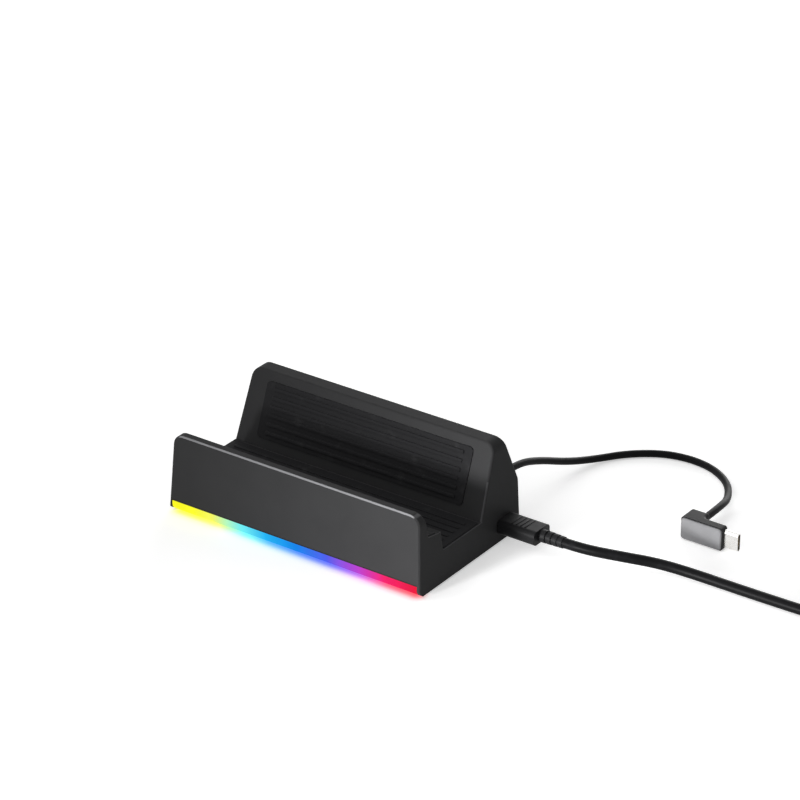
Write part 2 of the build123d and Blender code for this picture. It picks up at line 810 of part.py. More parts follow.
# Captive lead: straight out of the gland, down behind the stand and round to its plug
console_route = [
    (gland_x, boot_end, gland_height),
    (gland_x, 58.0, gland_height),
    (50.0, 72.0, 12.4),
    (53.0, 88.0, 5.6),
    (57.5, 102.0, 2.0),
    (66.5, 116.0, 1.6),
    (81.0, 126.0, 1.6),
    (99.0, 127.0, 1.6),
    (114.0, 119.0, 1.6),
    (123.0, 105.0, 2.4),
    (126.2, 92.0, 5.2),
    (126.2, 80.0, 5.2),
]
console_radii = bend_radii(console_route)
print("console lead radii", [round(radius, 1) for radius in console_radii])
with BuildPart() as console_lead:
    with BuildLine() as console_path:
        FilletPolyline(*console_route, radius=console_radii)
    with BuildSketch(Plane(origin=console_path.wire() @ 0, z_dir=console_path.wire() % 0)):
        Circle(console_lead_diameter / 2)
    sweep(path=console_path.wire())
console_lead.part.label = "console_lead"
export_step(console_lead.part, "parts/console_lead.step")
print("console lead length", round(console_path.wire().length, 1),
      "volume share", round(console_lead.part.volume / console_path.wire().length
                            / (pi * console_lead_diameter ** 2 / 4), 4))

# Right-angle plug on its side: the lead enters its back, its tip points to +X
plug_plane = Plane(origin=console_route[-1], x_dir=(1, 0, 0), z_dir=(0, 0, -1))
shoulder_half = plug_shoulder / 2
plug_end = plug_length - shoulder_half
seat_depth = plug_depth - plug_face_thickness
waist_depth = plug_depth - plug_thickness
with BuildPart() as console_plug_body:
    with BuildSketch(plug_plane.offset(-plug_width / 2)):
        with BuildLine():
            FilletPolyline(
                (-shoulder_half, plug_neck),
                (-shoulder_half, seat_depth),
                (plug_end, seat_depth),
                (plug_end, waist_depth),
                (shoulder_half, waist_depth),
                (shoulder_half, plug_neck),
                radius=[plug_corner, 0, 0, plug_corner, plug_corner, plug_corner],
                close=True,
            )
        make_face()
    extrude(amount=plug_width)
    fillet(console_plug_body.faces().sort_by(Axis.Y)[-1].edges(), radius=plug_corner)
    with BuildSketch(Plane(origin=console_route[-1], x_dir=(1, 0, 0), z_dir=(0, -1, 0))):
        Circle(gland_tip / 2)
    with BuildSketch(Plane(origin=Vector(*console_route[-1]) + Vector(0, -plug_neck - fit, 0),
                           x_dir=(1, 0, 0), z_dir=(0, -1, 0))):
        Circle(gland_neck / 2)
    loft()
console_plug_body.part.label = "console_plug_body"
export_step(console_plug_body.part, "parts/console_plug_body.step")

face_origin = Vector(*console_route[-1]) + Vector((plug_end - shoulder_half) / 2, -seat_depth, 0)
with BuildPart() as console_plug_face:
    with BuildSketch(Plane(origin=face_origin, x_dir=(1, 0, 0), z_dir=(0, -1, 0))):
        RectangleRounded(plug_length - 2 * plug_face_margin, plug_width - 2 * plug_face_margin, plug_corner)
    extrude(amount=plug_face_thickness)
    chamfer(console_plug_face.faces().sort_by(Axis.Y)[0].edges(), length=plug_face_margin)
console_plug_face.part.label = "console_plug_face"
export_step(console_plug_face.part, "parts/console_plug_face.step")


def plug_tip(plane):
    """Hollow rounded tip of a plug, from its seat on the moulding out along the plane's normal."""
    with BuildPart() as tip:
        with BuildSketch(plane):
            SlotOverall(tip_width, tip_thickness)
        extrude(amount=tip_reach)
        with BuildSketch(plane.offset(tip_reach)):
            SlotOverall(tip_width - 2 * tip_sheet, tip_thickness - 2 * tip_sheet)
        extrude(amount=tip_sheet - tip_reach, mode=Mode.SUBTRACT)
    return tip.part


tip_origin = Vector(*console_route[-1]) + Vector(plug_end, -(seat_depth + waist_depth) / 2, 0)
console_plug_tip = plug_tip(Plane(origin=tip_origin, x_dir=(0, 0, 1), z_dir=(1, 0, 0)))
console_plug_tip.label = "console_plug_tip"
export_step(console_plug_tip, "parts/console_plug_tip.step")


def straight_plug(plane):
    """Moulded straight plug with a ringed boot, from its mating face back along the plane's normal."""
    with BuildPart() as body:
        with BuildSketch(plane):
            RectangleRounded(straight_plug_width, straight_plug_thickness, straight_plug_corner)
        extrude(amount=straight_plug_length)
        with BuildSketch(plane.offset(straight_plug_length)):
            Circle(boot_root / 2)
        with BuildSketch(plane.offset(straight_plug_length + boot_length)):
            Circle(boot_tip / 2)
        loft()
        for ring in range(boot_ring_count):
            with BuildSketch(plane.offset(straight_plug_length + (ring + 1) * boot_ring_pitch)):
                Circle(boot_root / 2)
                Circle(boot_tip / 2 - gland_ring_depth / 2, mode=Mode.SUBTRACT)
            extrude(amount=gland_ring_width, mode=Mode.SUBTRACT)
    return body.part


# Power plug seated in its port
power_place = Vector(power_mouth + plug_gap, power_port_y, power_axis)
power_plug_body = straight_plug(Plane(origin=power_place, x_dir=(0, 1, 0), z_dir=(1, 0, 0)))
power_plug_body.label = "power_plug_body"
export_step(power_plug_body, "parts/power_plug_body.step")
power_plug_tip = plug_tip(Plane(origin=power_place, x_dir=(0, 1, 0), z_dir=(-1, 0, 0)))
power_plug_tip.label = "power_plug_tip"
export_step(power_plug_tip, "parts/power_plug_tip.step")

# Power lead: out of its boot, down to the table and straight away to the coil
coil_column = power_lead_diameter * coil_columns / 2
coil_floor = tie_thickness
coil_entry = coil_y - coil_mean_radius - coil_column + power_lead_diameter / 2
power_exit = power_mouth + plug_gap + straight_plug_length + boot_length
power_route = [
    (power_exit, power_port_y, power_axis),
    (102.0, power_port_y, power_axis),
    (116.5, 30.2, 6.6),
    (130.0, 36.6, 4.2),
    (146.0, 41.2, 2.6),
    (168.0, 42.7, 2.26),
    (201.0, coil_entry, 2.5),
    (coil_x, coil_entry, coil_floor + power_lead_diameter / 2),
]
power_radii = bend_radii(power_route)
print("power lead radii", [round(radius, 1) for radius in power_radii])
with BuildPart() as power_lead:
    with BuildLine() as power_path:
        FilletPolyline(*power_route, radius=power_radii)
    with BuildSketch(Plane(origin=power_path.wire() @ 0, z_dir=power_path.wire() % 0)):
        Circle(power_lead_diameter / 2)
    sweep(path=power_path.wire())
power_lead.part.label = "power_lead"
export_step(power_lead.part, "parts/power_lead.step")
print("power lead length", round(power_path.wire().length, 1),
      "volume share", round(power_lead.part.volume / power_path.wire().length
                            / (pi * power_lead_diameter ** 2 / 4), 4))

# Coil of the rest of the power lead, with a channel for the end that comes in, and its tie
coil_height = coil_layers * power_lead_diameter
coil_plane = Plane(origin=(coil_x, coil_y, 0), x_dir=(1, 0, 0), z_dir=(0, -1, 0))
coil_axis = Axis((coil_x, coil_y, 0), (0, 0, 1))


def coil_outline(grow):
    """Section of the coil's turns with cut corners, drawn in the open sketch."""
    with Locations((coil_mean_radius, coil_floor + coil_height / 2)):
        outline = Rectangle(2 * (coil_column + grow), coil_height + 2 * grow)
    chamfer(outline.vertices(), length=power_lead_diameter / 2)


with BuildPart() as power_lead_coil:
    with BuildSketch(coil_plane):
        coil_outline(0)
    revolve(axis=coil_axis)
    with BuildSketch(Plane(origin=power_path.wire() @ 0, z_dir=power_path.wire() % 0)):
        Circle(power_lead_diameter / 2 + fit)
    sweep(path=power_path.wire(), mode=Mode.SUBTRACT)
power_lead_coil.part.label = "power_lead_coil"
export_step(power_lead_coil.part, "parts/power_lead_coil.step")

tie_plane = Plane(origin=(coil_x, coil_y, 0),
                  x_dir=(cos(radians(tie_angle)), sin(radians(tie_angle)), 0),
                  z_dir=(sin(radians(tie_angle)), -cos(radians(tie_angle)), 0))
with BuildPart() as lead_tie:
    with BuildSketch(tie_plane):
        coil_outline(tie_thickness)
    extrude(amount=tie_width / 2, both=True)
    with BuildSketch(coil_plane):
        coil_outline(0)
    revolve(axis=coil_axis, mode=Mode.SUBTRACT)
lead_tie.part.label = "lead_tie"
export_step(lead_tie.part, "parts/lead_tie.step")

# Plug at the far end of the power lead, lying along the front of the coil
far_place = Vector(coil_x - far_plug_shift + straight_plug_length + boot_length, coil_y - coil_mean_radius,
                   coil_floor + coil_height + straight_plug_thickness / 2)
far_plug_body = straight_plug(Plane(origin=far_place, x_dir=(0, 1, 0), z_dir=(-1, 0, 0)))
far_plug_body.label = "far_plug_body"
export_step(far_plug_body, "parts/far_plug_body.step")
far_plug_tip = plug_tip(Plane(origin=far_place, x_dir=(0, 1, 0), z_dir=(1, 0, 0)))
far_plug_tip.label = "far_plug_tip"
export_step(far_plug_tip, "parts/far_plug_tip.step")
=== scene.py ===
"""Dressed scene of a docking stand.

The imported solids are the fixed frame, in metres: X along the stand, Y from its front plate to its
back, Z up from the table. This script gives them their finishes, adds the small pieces and the
leads, and sets the camera, the floor and the lamps. Sizes of new pieces are in millimetres.
"""
from __future__ import annotations

import logging
from collections.abc import Callable, Sequence
from dataclasses import dataclass
from enum import Enum
from math import copysign, cos, radians, sin

import bmesh
import bpy
from mathutils import Matrix, Vector

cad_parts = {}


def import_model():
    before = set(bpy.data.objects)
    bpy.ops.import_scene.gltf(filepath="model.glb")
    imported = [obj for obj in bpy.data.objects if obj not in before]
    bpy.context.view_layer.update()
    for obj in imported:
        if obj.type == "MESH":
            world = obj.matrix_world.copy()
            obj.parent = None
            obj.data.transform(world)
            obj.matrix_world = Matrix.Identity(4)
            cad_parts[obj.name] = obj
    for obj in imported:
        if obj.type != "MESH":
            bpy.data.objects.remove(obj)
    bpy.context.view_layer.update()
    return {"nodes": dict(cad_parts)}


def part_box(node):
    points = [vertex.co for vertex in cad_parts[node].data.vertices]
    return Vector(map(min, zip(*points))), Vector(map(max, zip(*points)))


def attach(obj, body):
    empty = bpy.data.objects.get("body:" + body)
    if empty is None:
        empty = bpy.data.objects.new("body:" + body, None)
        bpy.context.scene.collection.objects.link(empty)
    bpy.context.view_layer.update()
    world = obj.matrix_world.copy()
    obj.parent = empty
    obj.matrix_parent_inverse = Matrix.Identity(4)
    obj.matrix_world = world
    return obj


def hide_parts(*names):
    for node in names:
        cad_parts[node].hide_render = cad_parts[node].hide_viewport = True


LOG = logging.getLogger("dock")
Point = tuple[float, float, float]
Colour = tuple[float, float, float]
Span = tuple[float, float]
Test = Callable[[Vector, Vector], bool]
Piece = bpy.types.Object

# One millimetre in metres
MM = 0.001

# Directions of the frame
RIGHT = (1.0, 0.0, 0.0)
BACK = (0.0, 1.0, 0.0)
UP = (0.0, 0.0, 1.0)

# Middle of a noise's range
MIDDLE = 0.5

# How squarely a face has to face a way to be picked, and to be picked as flat
TURNED = 0.9
FLAT = 0.99

# How near a line a vertex has to lie to be picked
NEAR = 0.05 * MM


class Body(Enum):
    """Bodies that a piece can ride on."""

    DOCK = "dock"
    BUTTON = "button"


class Slot(Enum):
    """Names of material slots for new pieces; nothing in this script uses them."""

    SILICONE = "silicone"
    RUBBER = "rubber"
    SCREW = "screw_steel"
    SHELL = "port_shell"
    CONTACT = "contact"
    BUTTON = "button"
    PLUG = "plug_moulding"
    JACKET = "lead_jacket"
    TIE = "tie"


class Pick(Enum):
    """Kinds of mesh element that an edit works on."""

    VERTEX = "VERT"
    EDGE = "EDGE"
    FACE = "FACE"


class Glow(Enum):
    """Colours of the light strip, each with its share of the way along it."""

    YELLOW = (0.00, (0.98, 0.94, 0.01))
    LEMON = (0.09, (1.00, 0.99, 0.02))
    STRAW = (0.17, (0.92, 0.94, 0.12))
    MINT = (0.22, (0.50, 0.94, 0.45))
    AQUA = (0.29, (0.16, 0.88, 0.92))
    SKY = (0.39, (0.01, 0.45, 0.90))
    AZURE = (0.52, (0.00, 0.22, 0.84))
    COBALT = (0.64, (0.07, 0.11, 0.87))
    ORCHID = (0.76, (0.47, 0.05, 0.66))
    ROSE = (0.87, (0.94, 0.01, 0.15))
    CRIMSON = (1.00, (0.84, 0.00, 0.03))


def millimetres(*values: float) -> Point:
    """Millimetres as a point in metres."""
    return tuple(value * MM for value in values)


def math_node(operation: str, turned: bool = False) -> Callable[..., Signal]:
    """Make an operator of signals that adds one Math node.

    Args:
        operation: What the node does.
        turned: Whether the other value comes first.

    Returns:
        The operator, as a method.
    """

    def method(self: Signal, other: Value = 0.0) -> Signal:
        """Result of the node."""
        pair = (other, self) if turned else (self, other)
        return self.graph.node("ShaderNodeMath", {"operation": operation}, dict(enumerate(pair)))

    return method


class Signal:
    """One output socket in a node graph, whose operators add Math nodes."""

    def __init__(self, graph: Graph, socket: bpy.types.NodeSocket) -> None:
        """Hold an output socket and the graph that it is in."""
        self.graph = graph
        self.socket = socket

    def also(self, output: str) -> Signal:
        """Another output of the same node."""
        return Signal(self.graph, self.socket.node.outputs[output])

    __add__ = __radd__ = math_node("ADD")
    __sub__ = math_node("SUBTRACT")
    __rsub__ = math_node("SUBTRACT", turned=True)
    __mul__ = __rmul__ = math_node("MULTIPLY")
    __truediv__ = math_node("DIVIDE")
    __mod__ = math_node("FLOORED_MODULO")
    __pow__ = math_node("POWER")
    __gt__ = math_node("GREATER_THAN")
    __lt__ = math_node("LESS_THAN")
    __abs__ = math_node("ABSOLUTE")
    least = math_node("MINIMUM")


Value = Signal | float | Sequence[float]


class Graph:
    """Node tree of one material or of the world."""

    def __init__(self, tree: bpy.types.NodeTree) -> None:
        """Start with an empty tree."""
        self.tree = tree
        self.tree.nodes.clear()

    def node(
        self,
        kind: str,
        settings: dict[str, object] | None = None,
        sockets: dict[int | str, Value] | None = None,
        output: int | str = 0,
    ) -> Signal:
        """Add a node.

        Args:
            kind: Blender's type of the node.
            settings: Its properties, and a ramp's stops as (place, colour) pairs.
            sockets: Values or links of its inputs, by name or number.
            output: The output that is handed back.

        Returns:
            The chosen output.
        """
        made = self.tree.nodes.new(kind)
        for key, value in (settings or {}).items():
            if key == "stops":
                self.set_stops(made.color_ramp, value)
            else:
                setattr(made, key, value)
        for key, value in (sockets or {}).items():
            self.feed(made.inputs[key], value)
        return Signal(self, made.outputs[output] if len(made.outputs) else None)

    @staticmethod
    def set_stops(ramp: bpy.types.ColorRamp, stops: Sequence[tuple[float, Colour]]) -> None:
        """Set a ramp's stops.

        Args:
            ramp: The ramp of a new node, which has two stops.
            stops: Places and colours in order, at least two.
        """
        while len(ramp.elements) < len(stops):
            ramp.elements.new(1.0)
        for element, (place, colour) in zip(ramp.elements, stops):
            element.position = place
            element.color = (*colour, 1.0)

    def feed(self, socket: bpy.types.NodeSocket, value: Value) -> None:
        """Link a signal to an input, or set the input's own value.

        Args:
            socket: The input.
            value: A signal, a number, a colour or a vector.
        """
        if isinstance(value, Signal):
            self.tree.links.new(value.socket, socket)
        elif socket.type == "RGBA":
            socket.default_value = (*value, 1.0)
        else:
            socket.default_value = value

    def place(self) -> Signal:
        """Object coordinates."""
        return self.node("ShaderNodeTexCoord", output="Object")

    def along(self, axis: str) -> Signal:
        """Object coordinate along X, Y or Z."""
        return self.node("ShaderNodeSeparateXYZ", None, {0: self.place()}, axis)

    def ridges(self, axis: str, pitch: float) -> Signal:
        """Even ridges across an axis, from one at the ends of each pitch to nought at its middle."""
        return abs(self.along(axis) % pitch / pitch - MIDDLE) * 2.0

    def noise(self, size: float, detail: float = 2.0, stretch: Point = (1.0, 1.0, 1.0)) -> Signal:
        """Soft noise of a feature size in metres.

        Args:
            size: Size of its patches.
            detail: Octaves.
            stretch: How much finer it is along each axis.

        Returns:
            Values about one half.
        """
        place = self.node("ShaderNodeMapping", None, {"Vector": self.place(), "Scale": stretch})
        sockets = {"Vector": place, "Scale": 1.0 / size, "Detail": detail}
        return self.node("ShaderNodeTexNoise", {"noise_dimensions": "3D"}, sockets)

    def cells(self, size: float, output: str = "Distance") -> Signal:
        """Cells of a size in metres."""
        return self.node("ShaderNodeTexVoronoi", None, {"Vector": self.place(), "Scale": 1.0 / size}, output)

    def between(self, value: Signal, low: float, high: float) -> Signal:
        """Smooth step from nought at one value to one at the other."""
        settings = {"interpolation_type": "SMOOTHSTEP"}
        return self.node("ShaderNodeMapRange", settings, {"Value": value, "From Min": low, "From Max": high})

    def mix(self, share: Signal, first: Value, second: Value) -> Signal:
        """Colour between two, by a share."""
        settings = {"data_type": "RGBA", "clamp_factor": True}
        return self.node("ShaderNodeMix", settings, {0: share, 6: first, 7: second}, 2)

    def ramp(self, share: Signal, stops: Sequence[tuple[float, Colour]]) -> Signal:
        """Colour from a row of stops."""
        return self.node("ShaderNodeValToRGB", {"stops": stops}, {0: share})

    def bump(self, height: Signal, depth: float, strength: float) -> Signal:
        """Normal of a relief whose full height is a depth in metres."""
        return self.node("ShaderNodeBump", None, {"Height": height, "Distance": depth, "Strength": strength})

    def dot(self, vector: Signal, way: Point) -> Signal:
        """Dot product of a vector and a fixed direction."""
        return self.node("ShaderNodeVectorMath", {"operation": "DOT_PRODUCT"}, {0: vector, 1: way}, "Value")

    def facing(self, way: Point) -> Signal:
        """How far the surface faces a direction, one where it does fully."""
        normal = self.node("ShaderNodeNewGeometry", output="Normal")
        return self.dot(normal, tuple(Vector(way).normalized()))

    def seen(self) -> Signal:
        """One on the rays that show the background, nought on those that light the stand."""
        path = self.node("ShaderNodeLightPath", output="Is Camera Ray")
        return (path + path.also("Is Glossy Ray") + path.also("Is Transmission Ray")).least(1.0)

    def surface(self, sockets: dict[str, Value]) -> None:
        """Close the graph with one Principled shader, by the values or links of its inputs."""
        shader = self.node("ShaderNodeBsdfPrincipled", None, sockets)
        self.node("ShaderNodeOutputMaterial", None, {"Surface": shader})


def strip_colour(graph: Graph, across: Signal, half_length: float) -> Signal:
    """Colour of a light strip of a half length at a place along X, both in metres."""
    share = (across + half_length) / (2.0 * half_length)
    return graph.ramp(share, [glow.value for glow in Glow])


@dataclass(frozen=True)
class Finish:
    """A surface finish, built as one material. By itself it is moulded plastic."""

    label: str
    dark: Colour = (0.012, 0.012, 0.013)
    light: Colour = (0.02, 0.02, 0.021)
    roughness: float = 0.5
    specular: float = 0.35
    grain: float = 0.35 * MM
    grain_wear: float = 0.1
    patch: float = 9.0 * MM
    patch_wear: float = 0.16
    relief: float = 0.04 * MM
    relief_strength: float = 0.6

    def paint(self, graph: Graph) -> None:
        """Clouded tone under a spark-eroded grain.

        Args:
            graph: The material's empty graph.
        """
        cloud = graph.noise(self.patch, detail=3.0)
        grain = graph.noise(self.grain)
        tone = graph.mix(cloud, self.dark, self.light)
        self.close(graph, tone, self.worn(grain) + self.patch_wear * (cloud - MIDDLE), grain)

    def worn(self, grain: Signal) -> Signal:
        """Roughness that follows the grain."""
        return self.roughness + self.grain_wear * (grain - MIDDLE)

    def close(
        self,
        graph: Graph,
        colour: Signal,
        roughness: Signal,
        height: Signal,
        others: dict[str, Value] | None = None,
    ) -> None:
        """Close the graph with the finish's gloss and relief.

        Args:
            graph: The material's graph.
            colour: Colour of the surface.
            roughness: Its roughness.
            height: Its relief, as a share of the full depth.
            others: Values or links of the shader's other inputs.
        """
        graph.surface({
            "Base Color": colour,
            "Roughness": roughness,
            "Normal": graph.bump(height, self.relief, self.relief_strength),
            "Specular IOR Level": self.specular,
            **(others or {}),
        })


@dataclass(frozen=True)
class SatinCoat(Finish):
    """Satin dark coat, with a painted highlight along the front plate's top chamfer and round its right-hand
    corner, and painted highlights on the upward rounded edges at its right-hand end.
    """

    grain_wear: float = 0.08
    patch: float = 14.0 * MM
    patch_wear: float = 0.12
    relief: float = 0.025 * MM
    relief_strength: float = 0.5
    flake: float = 0.22 * MM
    flake_span: Span = (0.0, 0.5)
    flake_share: float = 0.3
    flake_relief: float = 0.4
    # Painted highlight along the plate's top chamfer: its colour, the way the chamfer faces, how far back it
    # reaches and how much glossier it is
    cut: Colour = (0.25, 0.25, 0.26)
    highlight_slope: Point = (0.0, -0.729, 0.684)
    highlight_span: Span = (0.93, 0.985)
    highlight_reach: float = -29.5 * MM
    highlight_gloss: float = 0.15
    # Painted highlight round the plate's right-hand top corner, and its share
    arc_highlight_slope: Point = (0.45, 0.0, 0.89)
    arc_highlight_span: Span = (0.975, 1.0)
    arc_highlight_share: float = 0.35
    # Painted highlight on the upward rounded edges at the right-hand end, below a height: its colour and the
    # spans of its masks
    rim_highlight_tone: Colour = (0.09, 0.09, 0.093)
    rim_highlight_top: float = 31.0 * MM
    rim_start: Span = (0.25, 0.5)
    rim_end: Span = (0.85, 0.96)
    upward_span: Span = (0.1, 0.4)
    break_span: Span = (0.2, 0.5)

    def painted_highlight(self, graph: Graph) -> Signal:
        """Where a highlight is painted on the plate's top chamfer and round its right-hand corner, by the
        way the surface faces.

        Args:
            graph: The material's graph.

        Returns:
            One along the edge, less round its corner, nought elsewhere.
        """
        straight = graph.between(graph.facing(self.highlight_slope), *self.highlight_span)
        arc_highlight = graph.between(graph.facing(self.arc_highlight_slope), *self.arc_highlight_span)
        return (straight + self.arc_highlight_share * arc_highlight) * (graph.along("Y") < self.highlight_reach)

    def painted_rim_highlight(self, graph: Graph, cloud: Signal) -> Signal:
        """Where a highlight is painted on the upward-facing rounded edges at the right-hand end.

        Args:
            graph: The material's graph.
            cloud: Soft noise that breaks the painted highlight lines.

        Returns:
            One where the highlight is painted, else nought.
        """
        side = graph.facing(RIGHT)
        rim = graph.between(side, *self.rim_start) * (1.0 - graph.between(side, *self.rim_end))
        upward = graph.between(graph.facing(UP), *self.upward_span)
        return rim * upward * (graph.along("Z") < self.rim_highlight_top) * graph.between(cloud, *self.break_span)

    def paint(self, graph: Graph) -> None:
        """Fine sparkle in the coat, under the painted highlights on the top chamfer, the right-hand corner
        arc and the rounded edges at the right-hand end.

        Args:
            graph: The material's empty graph.
        """
        cloud = graph.noise(self.patch, detail=3.0)
        grain = graph.noise(self.grain)
        sparkle = graph.between(graph.cells(self.flake), *self.flake_span)
        # Painted highlight: the top chamfer and the corner arc get a light colour and a little less
        # roughness
        edge = self.painted_highlight(graph)
        drift = cloud * (1.0 - self.flake_share) + sparkle * self.flake_share
        tone = graph.mix(drift, self.dark, self.light)
        # Painted highlight on the rounded edges at the right-hand end, broken into lines by noise
        tone = graph.mix(self.painted_rim_highlight(graph, cloud), tone, self.rim_highlight_tone)
        roughness = self.worn(grain) + self.patch_wear * (cloud - MIDDLE) - self.highlight_gloss * edge
        # The painted highlight's colour is laid over the coat along the top chamfer and the corner arc
        self.close(graph, graph.mix(edge, tone, self.cut), roughness, grain + self.flake_relief * sparkle)


@dataclass(frozen=True)
class SoftPad(Finish):
    """Matt silicone with fine moulded lines and a little dust."""

    grain_wear: float = 0.12
    patch: float = 6.0 * MM
    relief: float = 0.06 * MM
    relief_strength: float = 0.7
    pitch: float = 1.2 * MM
    line_share: float = 0.6
    dust_span: Span = (0.55, 0.8)
    dust_share: float = 0.5

    def paint(self, graph: Graph) -> None:
        """Lines across the pad, dust in patches.

        Args:
            graph: The material's empty graph.
        """
        cloud = graph.noise(self.patch, detail=4.0)
        grain = graph.noise(self.grain)
        dust = graph.between(cloud, *self.dust_span) * self.dust_share
        lines = graph.ridges("Y", self.pitch) * self.line_share + grain * (1.0 - self.line_share)
        self.close(graph, graph.mix(dust, self.dark, self.light), self.worn(grain), lines)


@dataclass(frozen=True)
class LitDiffuser(Finish):
    """Frosted bar, lit from behind in a run of colours."""

    grain_wear: float = 0.2
    relief: float = 0.03 * MM
    relief_strength: float = 0.5
    half_length: float = 62.3 * MM
    light_pitch: float = 9.643 * MM
    level: float = 0.97
    spot_gain: float = 0.05
    frost_gain: float = 0.06
    strength: float = 1.0

    def paint(self, graph: Graph) -> None:
        """Run of colours along the bar, a little brighter over each light.

        Args:
            graph: The material's empty graph.
        """
        frost = graph.noise(self.grain, detail=3.0)
        near = 1.0 - graph.ridges("X", self.light_pitch)
        level = self.level + self.spot_gain * near * near + self.frost_gain * (frost - MIDDLE)
        colour = strip_colour(graph, graph.along("X"), self.half_length)
        lit = graph.node("ShaderNodeVectorMath", {"operation": "SCALE"}, {"Vector": colour, "Scale": level})
        lamp = {"Emission Color": lit, "Emission Strength": self.strength}
        self.close(graph, graph.mix(frost, self.dark, self.light), self.worn(frost), frost, lamp)


@dataclass(frozen=True)
class CircuitBoard(Finish):
    """Solder mask over copper tracks, with tinned pads."""

    patch: float = 12.0 * MM
    patch_wear: float = 0.1
    relief: float = 0.03 * MM
    relief_strength: float = 0.5
    mottle: float = 3.2 * MM
    track: Colour = (0.02, 0.12, 0.045)
    track_cell: float = 2.6 * MM
    track_span: Span = (0.28, 0.34)
    pad: Colour = (0.62, 0.6, 0.55)
    pad_cell: float = 1.7 * MM
    pad_span: Span = (0.1, 0.16)
    pad_patch: float = 8.0 * MM
    pad_start: float = 0.55
    pad_gloss: float = 0.1

    def paint(self, graph: Graph) -> None:
        """Tracks as cell borders, pads as small dots.

        Args:
            graph: The material's empty graph.
        """
        border = graph.between(graph.cells(self.track_cell), *self.track_span)
        dots = 1.0 - graph.between(graph.cells(self.pad_cell), *self.pad_span)
        pads = dots * (graph.noise(self.pad_patch, detail=1.0) > self.pad_start)
        mottle = graph.node("ShaderNodeSeparateColor", None, {0: graph.cells(self.mottle, "Color")}, "Red")
        mask = graph.mix(border, self.track, self.dark)
        tone = graph.mix(graph.noise(self.patch), mask, self.light)
        roughness = self.roughness + self.patch_wear * (mottle - MIDDLE) - self.pad_gloss * pads
        self.close(graph, graph.mix(pads, tone, self.pad), roughness, border + pads, {"Metallic": pads})


@dataclass(frozen=True)
class PlatedMetal(Finish):
    """Plated or bare metal with drawn or turned grain and faint tarnish."""

    specular: float = 0.5
    grain_wear: float = 0.14
    grain_tone: float = 0.25
    grain_stretch: Point = (1.0, 0.05, 1.0)
    patch: float = 4.0 * MM
    patch_wear: float = 0.2
    relief: float = 0.01 * MM
    relief_strength: float = 0.5
    tarnish: float = 0.35
    tarnish_span: Span = (0.45, 0.75)

    def paint(self, graph: Graph) -> None:
        """Streaks along the grain, clouds of tarnish.

        Args:
            graph: The material's empty graph.
        """
        streak = graph.noise(self.grain, detail=3.0, stretch=self.grain_stretch)
        cloud = graph.noise(self.patch, detail=3.0)
        dull = graph.between(cloud, *self.tarnish_span) * self.tarnish
        tone = graph.mix(dull + self.grain_tone * (streak - MIDDLE), self.light, self.dark)
        self.close(graph, tone, self.worn(streak) + self.patch_wear * dull, streak, {"Metallic": 1.0})


@dataclass(frozen=True)
class LampLens(Finish):
    """Two small lamp lenses, green on the left and amber on the right."""

    grain_wear: float = 0.15
    relief: float = 0.025 * MM
    relief_strength: float = 0.5
    rib_pitch: float = 0.4 * MM
    middle: float = -35.1 * MM
    strength: float = 0.25

    def paint(self, graph: Graph) -> None:
        """Colour by side, with a ribbed lens.

        Args:
            graph: The material's empty graph.
        """
        colour = graph.mix(graph.along("X") > self.middle, self.dark, self.light)
        frost = graph.noise(self.grain)
        lamp = {"Emission Color": colour, "Emission Strength": self.strength}
        self.close(graph, colour, self.worn(frost), graph.ridges("Z", self.rib_pitch), lamp)


@dataclass(frozen=True)
class LightChip(Finish):
    """White light packages with a yellow phosphor window in each."""

    relief: float = 0.05 * MM
    pitch: float = 9.643 * MM
    height: float = 4.0 * MM
    window: float = 0.85 * MM
    window_rim: float = 0.92
    window_gloss: float = 0.15
    frost_relief: float = 0.2

    def paint(self, graph: Graph) -> None:
        """Round window in the middle of each package.

        Args:
            graph: The material's empty graph.
        """
        across = graph.along("X") % self.pitch - self.pitch / 2.0
        rise = graph.along("Z") - self.height
        reach = (across * across + rise * rise) ** 0.5
        window = 1.0 - graph.between(reach, self.window_rim * self.window, self.window)
        frost = graph.noise(self.grain)
        roughness = self.worn(frost) - self.window_gloss * window
        tone = graph.mix(window, self.dark, self.light)
        self.close(graph, tone, roughness, window + self.frost_relief * frost)


@dataclass(frozen=True)
class LeadJacket(Finish):
    """Extruded jacket with a satin grain and scuffs."""

    grain_wear: float = 0.08
    patch: float = 5.0 * MM
    patch_wear: float = 0.12
    relief: float = 0.02 * MM
    relief_strength: float = 0.5
    scuff_span: Span = (0.5, 0.75)
    scuff_share: float = 0.7

    def paint(self, graph: Graph) -> None:
        """Soft scuffs over a fine satin grain.

        Args:
            graph: The material's empty graph.
        """
        scuff = graph.between(graph.noise(self.patch, detail=4.0), *self.scuff_span)
        grain = graph.noise(self.grain)
        tone = graph.mix(scuff * self.scuff_share + grain * (1.0 - self.scuff_share), self.dark, self.light)
        self.close(graph, tone, self.worn(grain) + self.patch_wear * scuff, grain)


@dataclass(frozen=True)
class WovenTie(Finish):
    """Hook-and-loop band with a napped face."""

    relief: float = 0.25 * MM
    relief_strength: float = 0.9
    pitch: float = 0.7 * MM
    loop_share: float = 0.7
    fuzz_share: float = 0.5
    sheen: float = 0.3

    def paint(self, graph: Graph) -> None:
        """Rows of loops, broken by fuzz.

        Args:
            graph: The material's empty graph.
        """
        loops = graph.ridges("Z", self.pitch) * graph.ridges("X", self.pitch)
        fuzz = graph.noise(self.grain, detail=4.0)
        nap = loops * self.loop_share + fuzz * self.fuzz_share
        tone = graph.mix(nap, self.dark, self.light)
        self.close(graph, tone, self.worn(fuzz), nap, {"Sheen Weight": self.sheen})


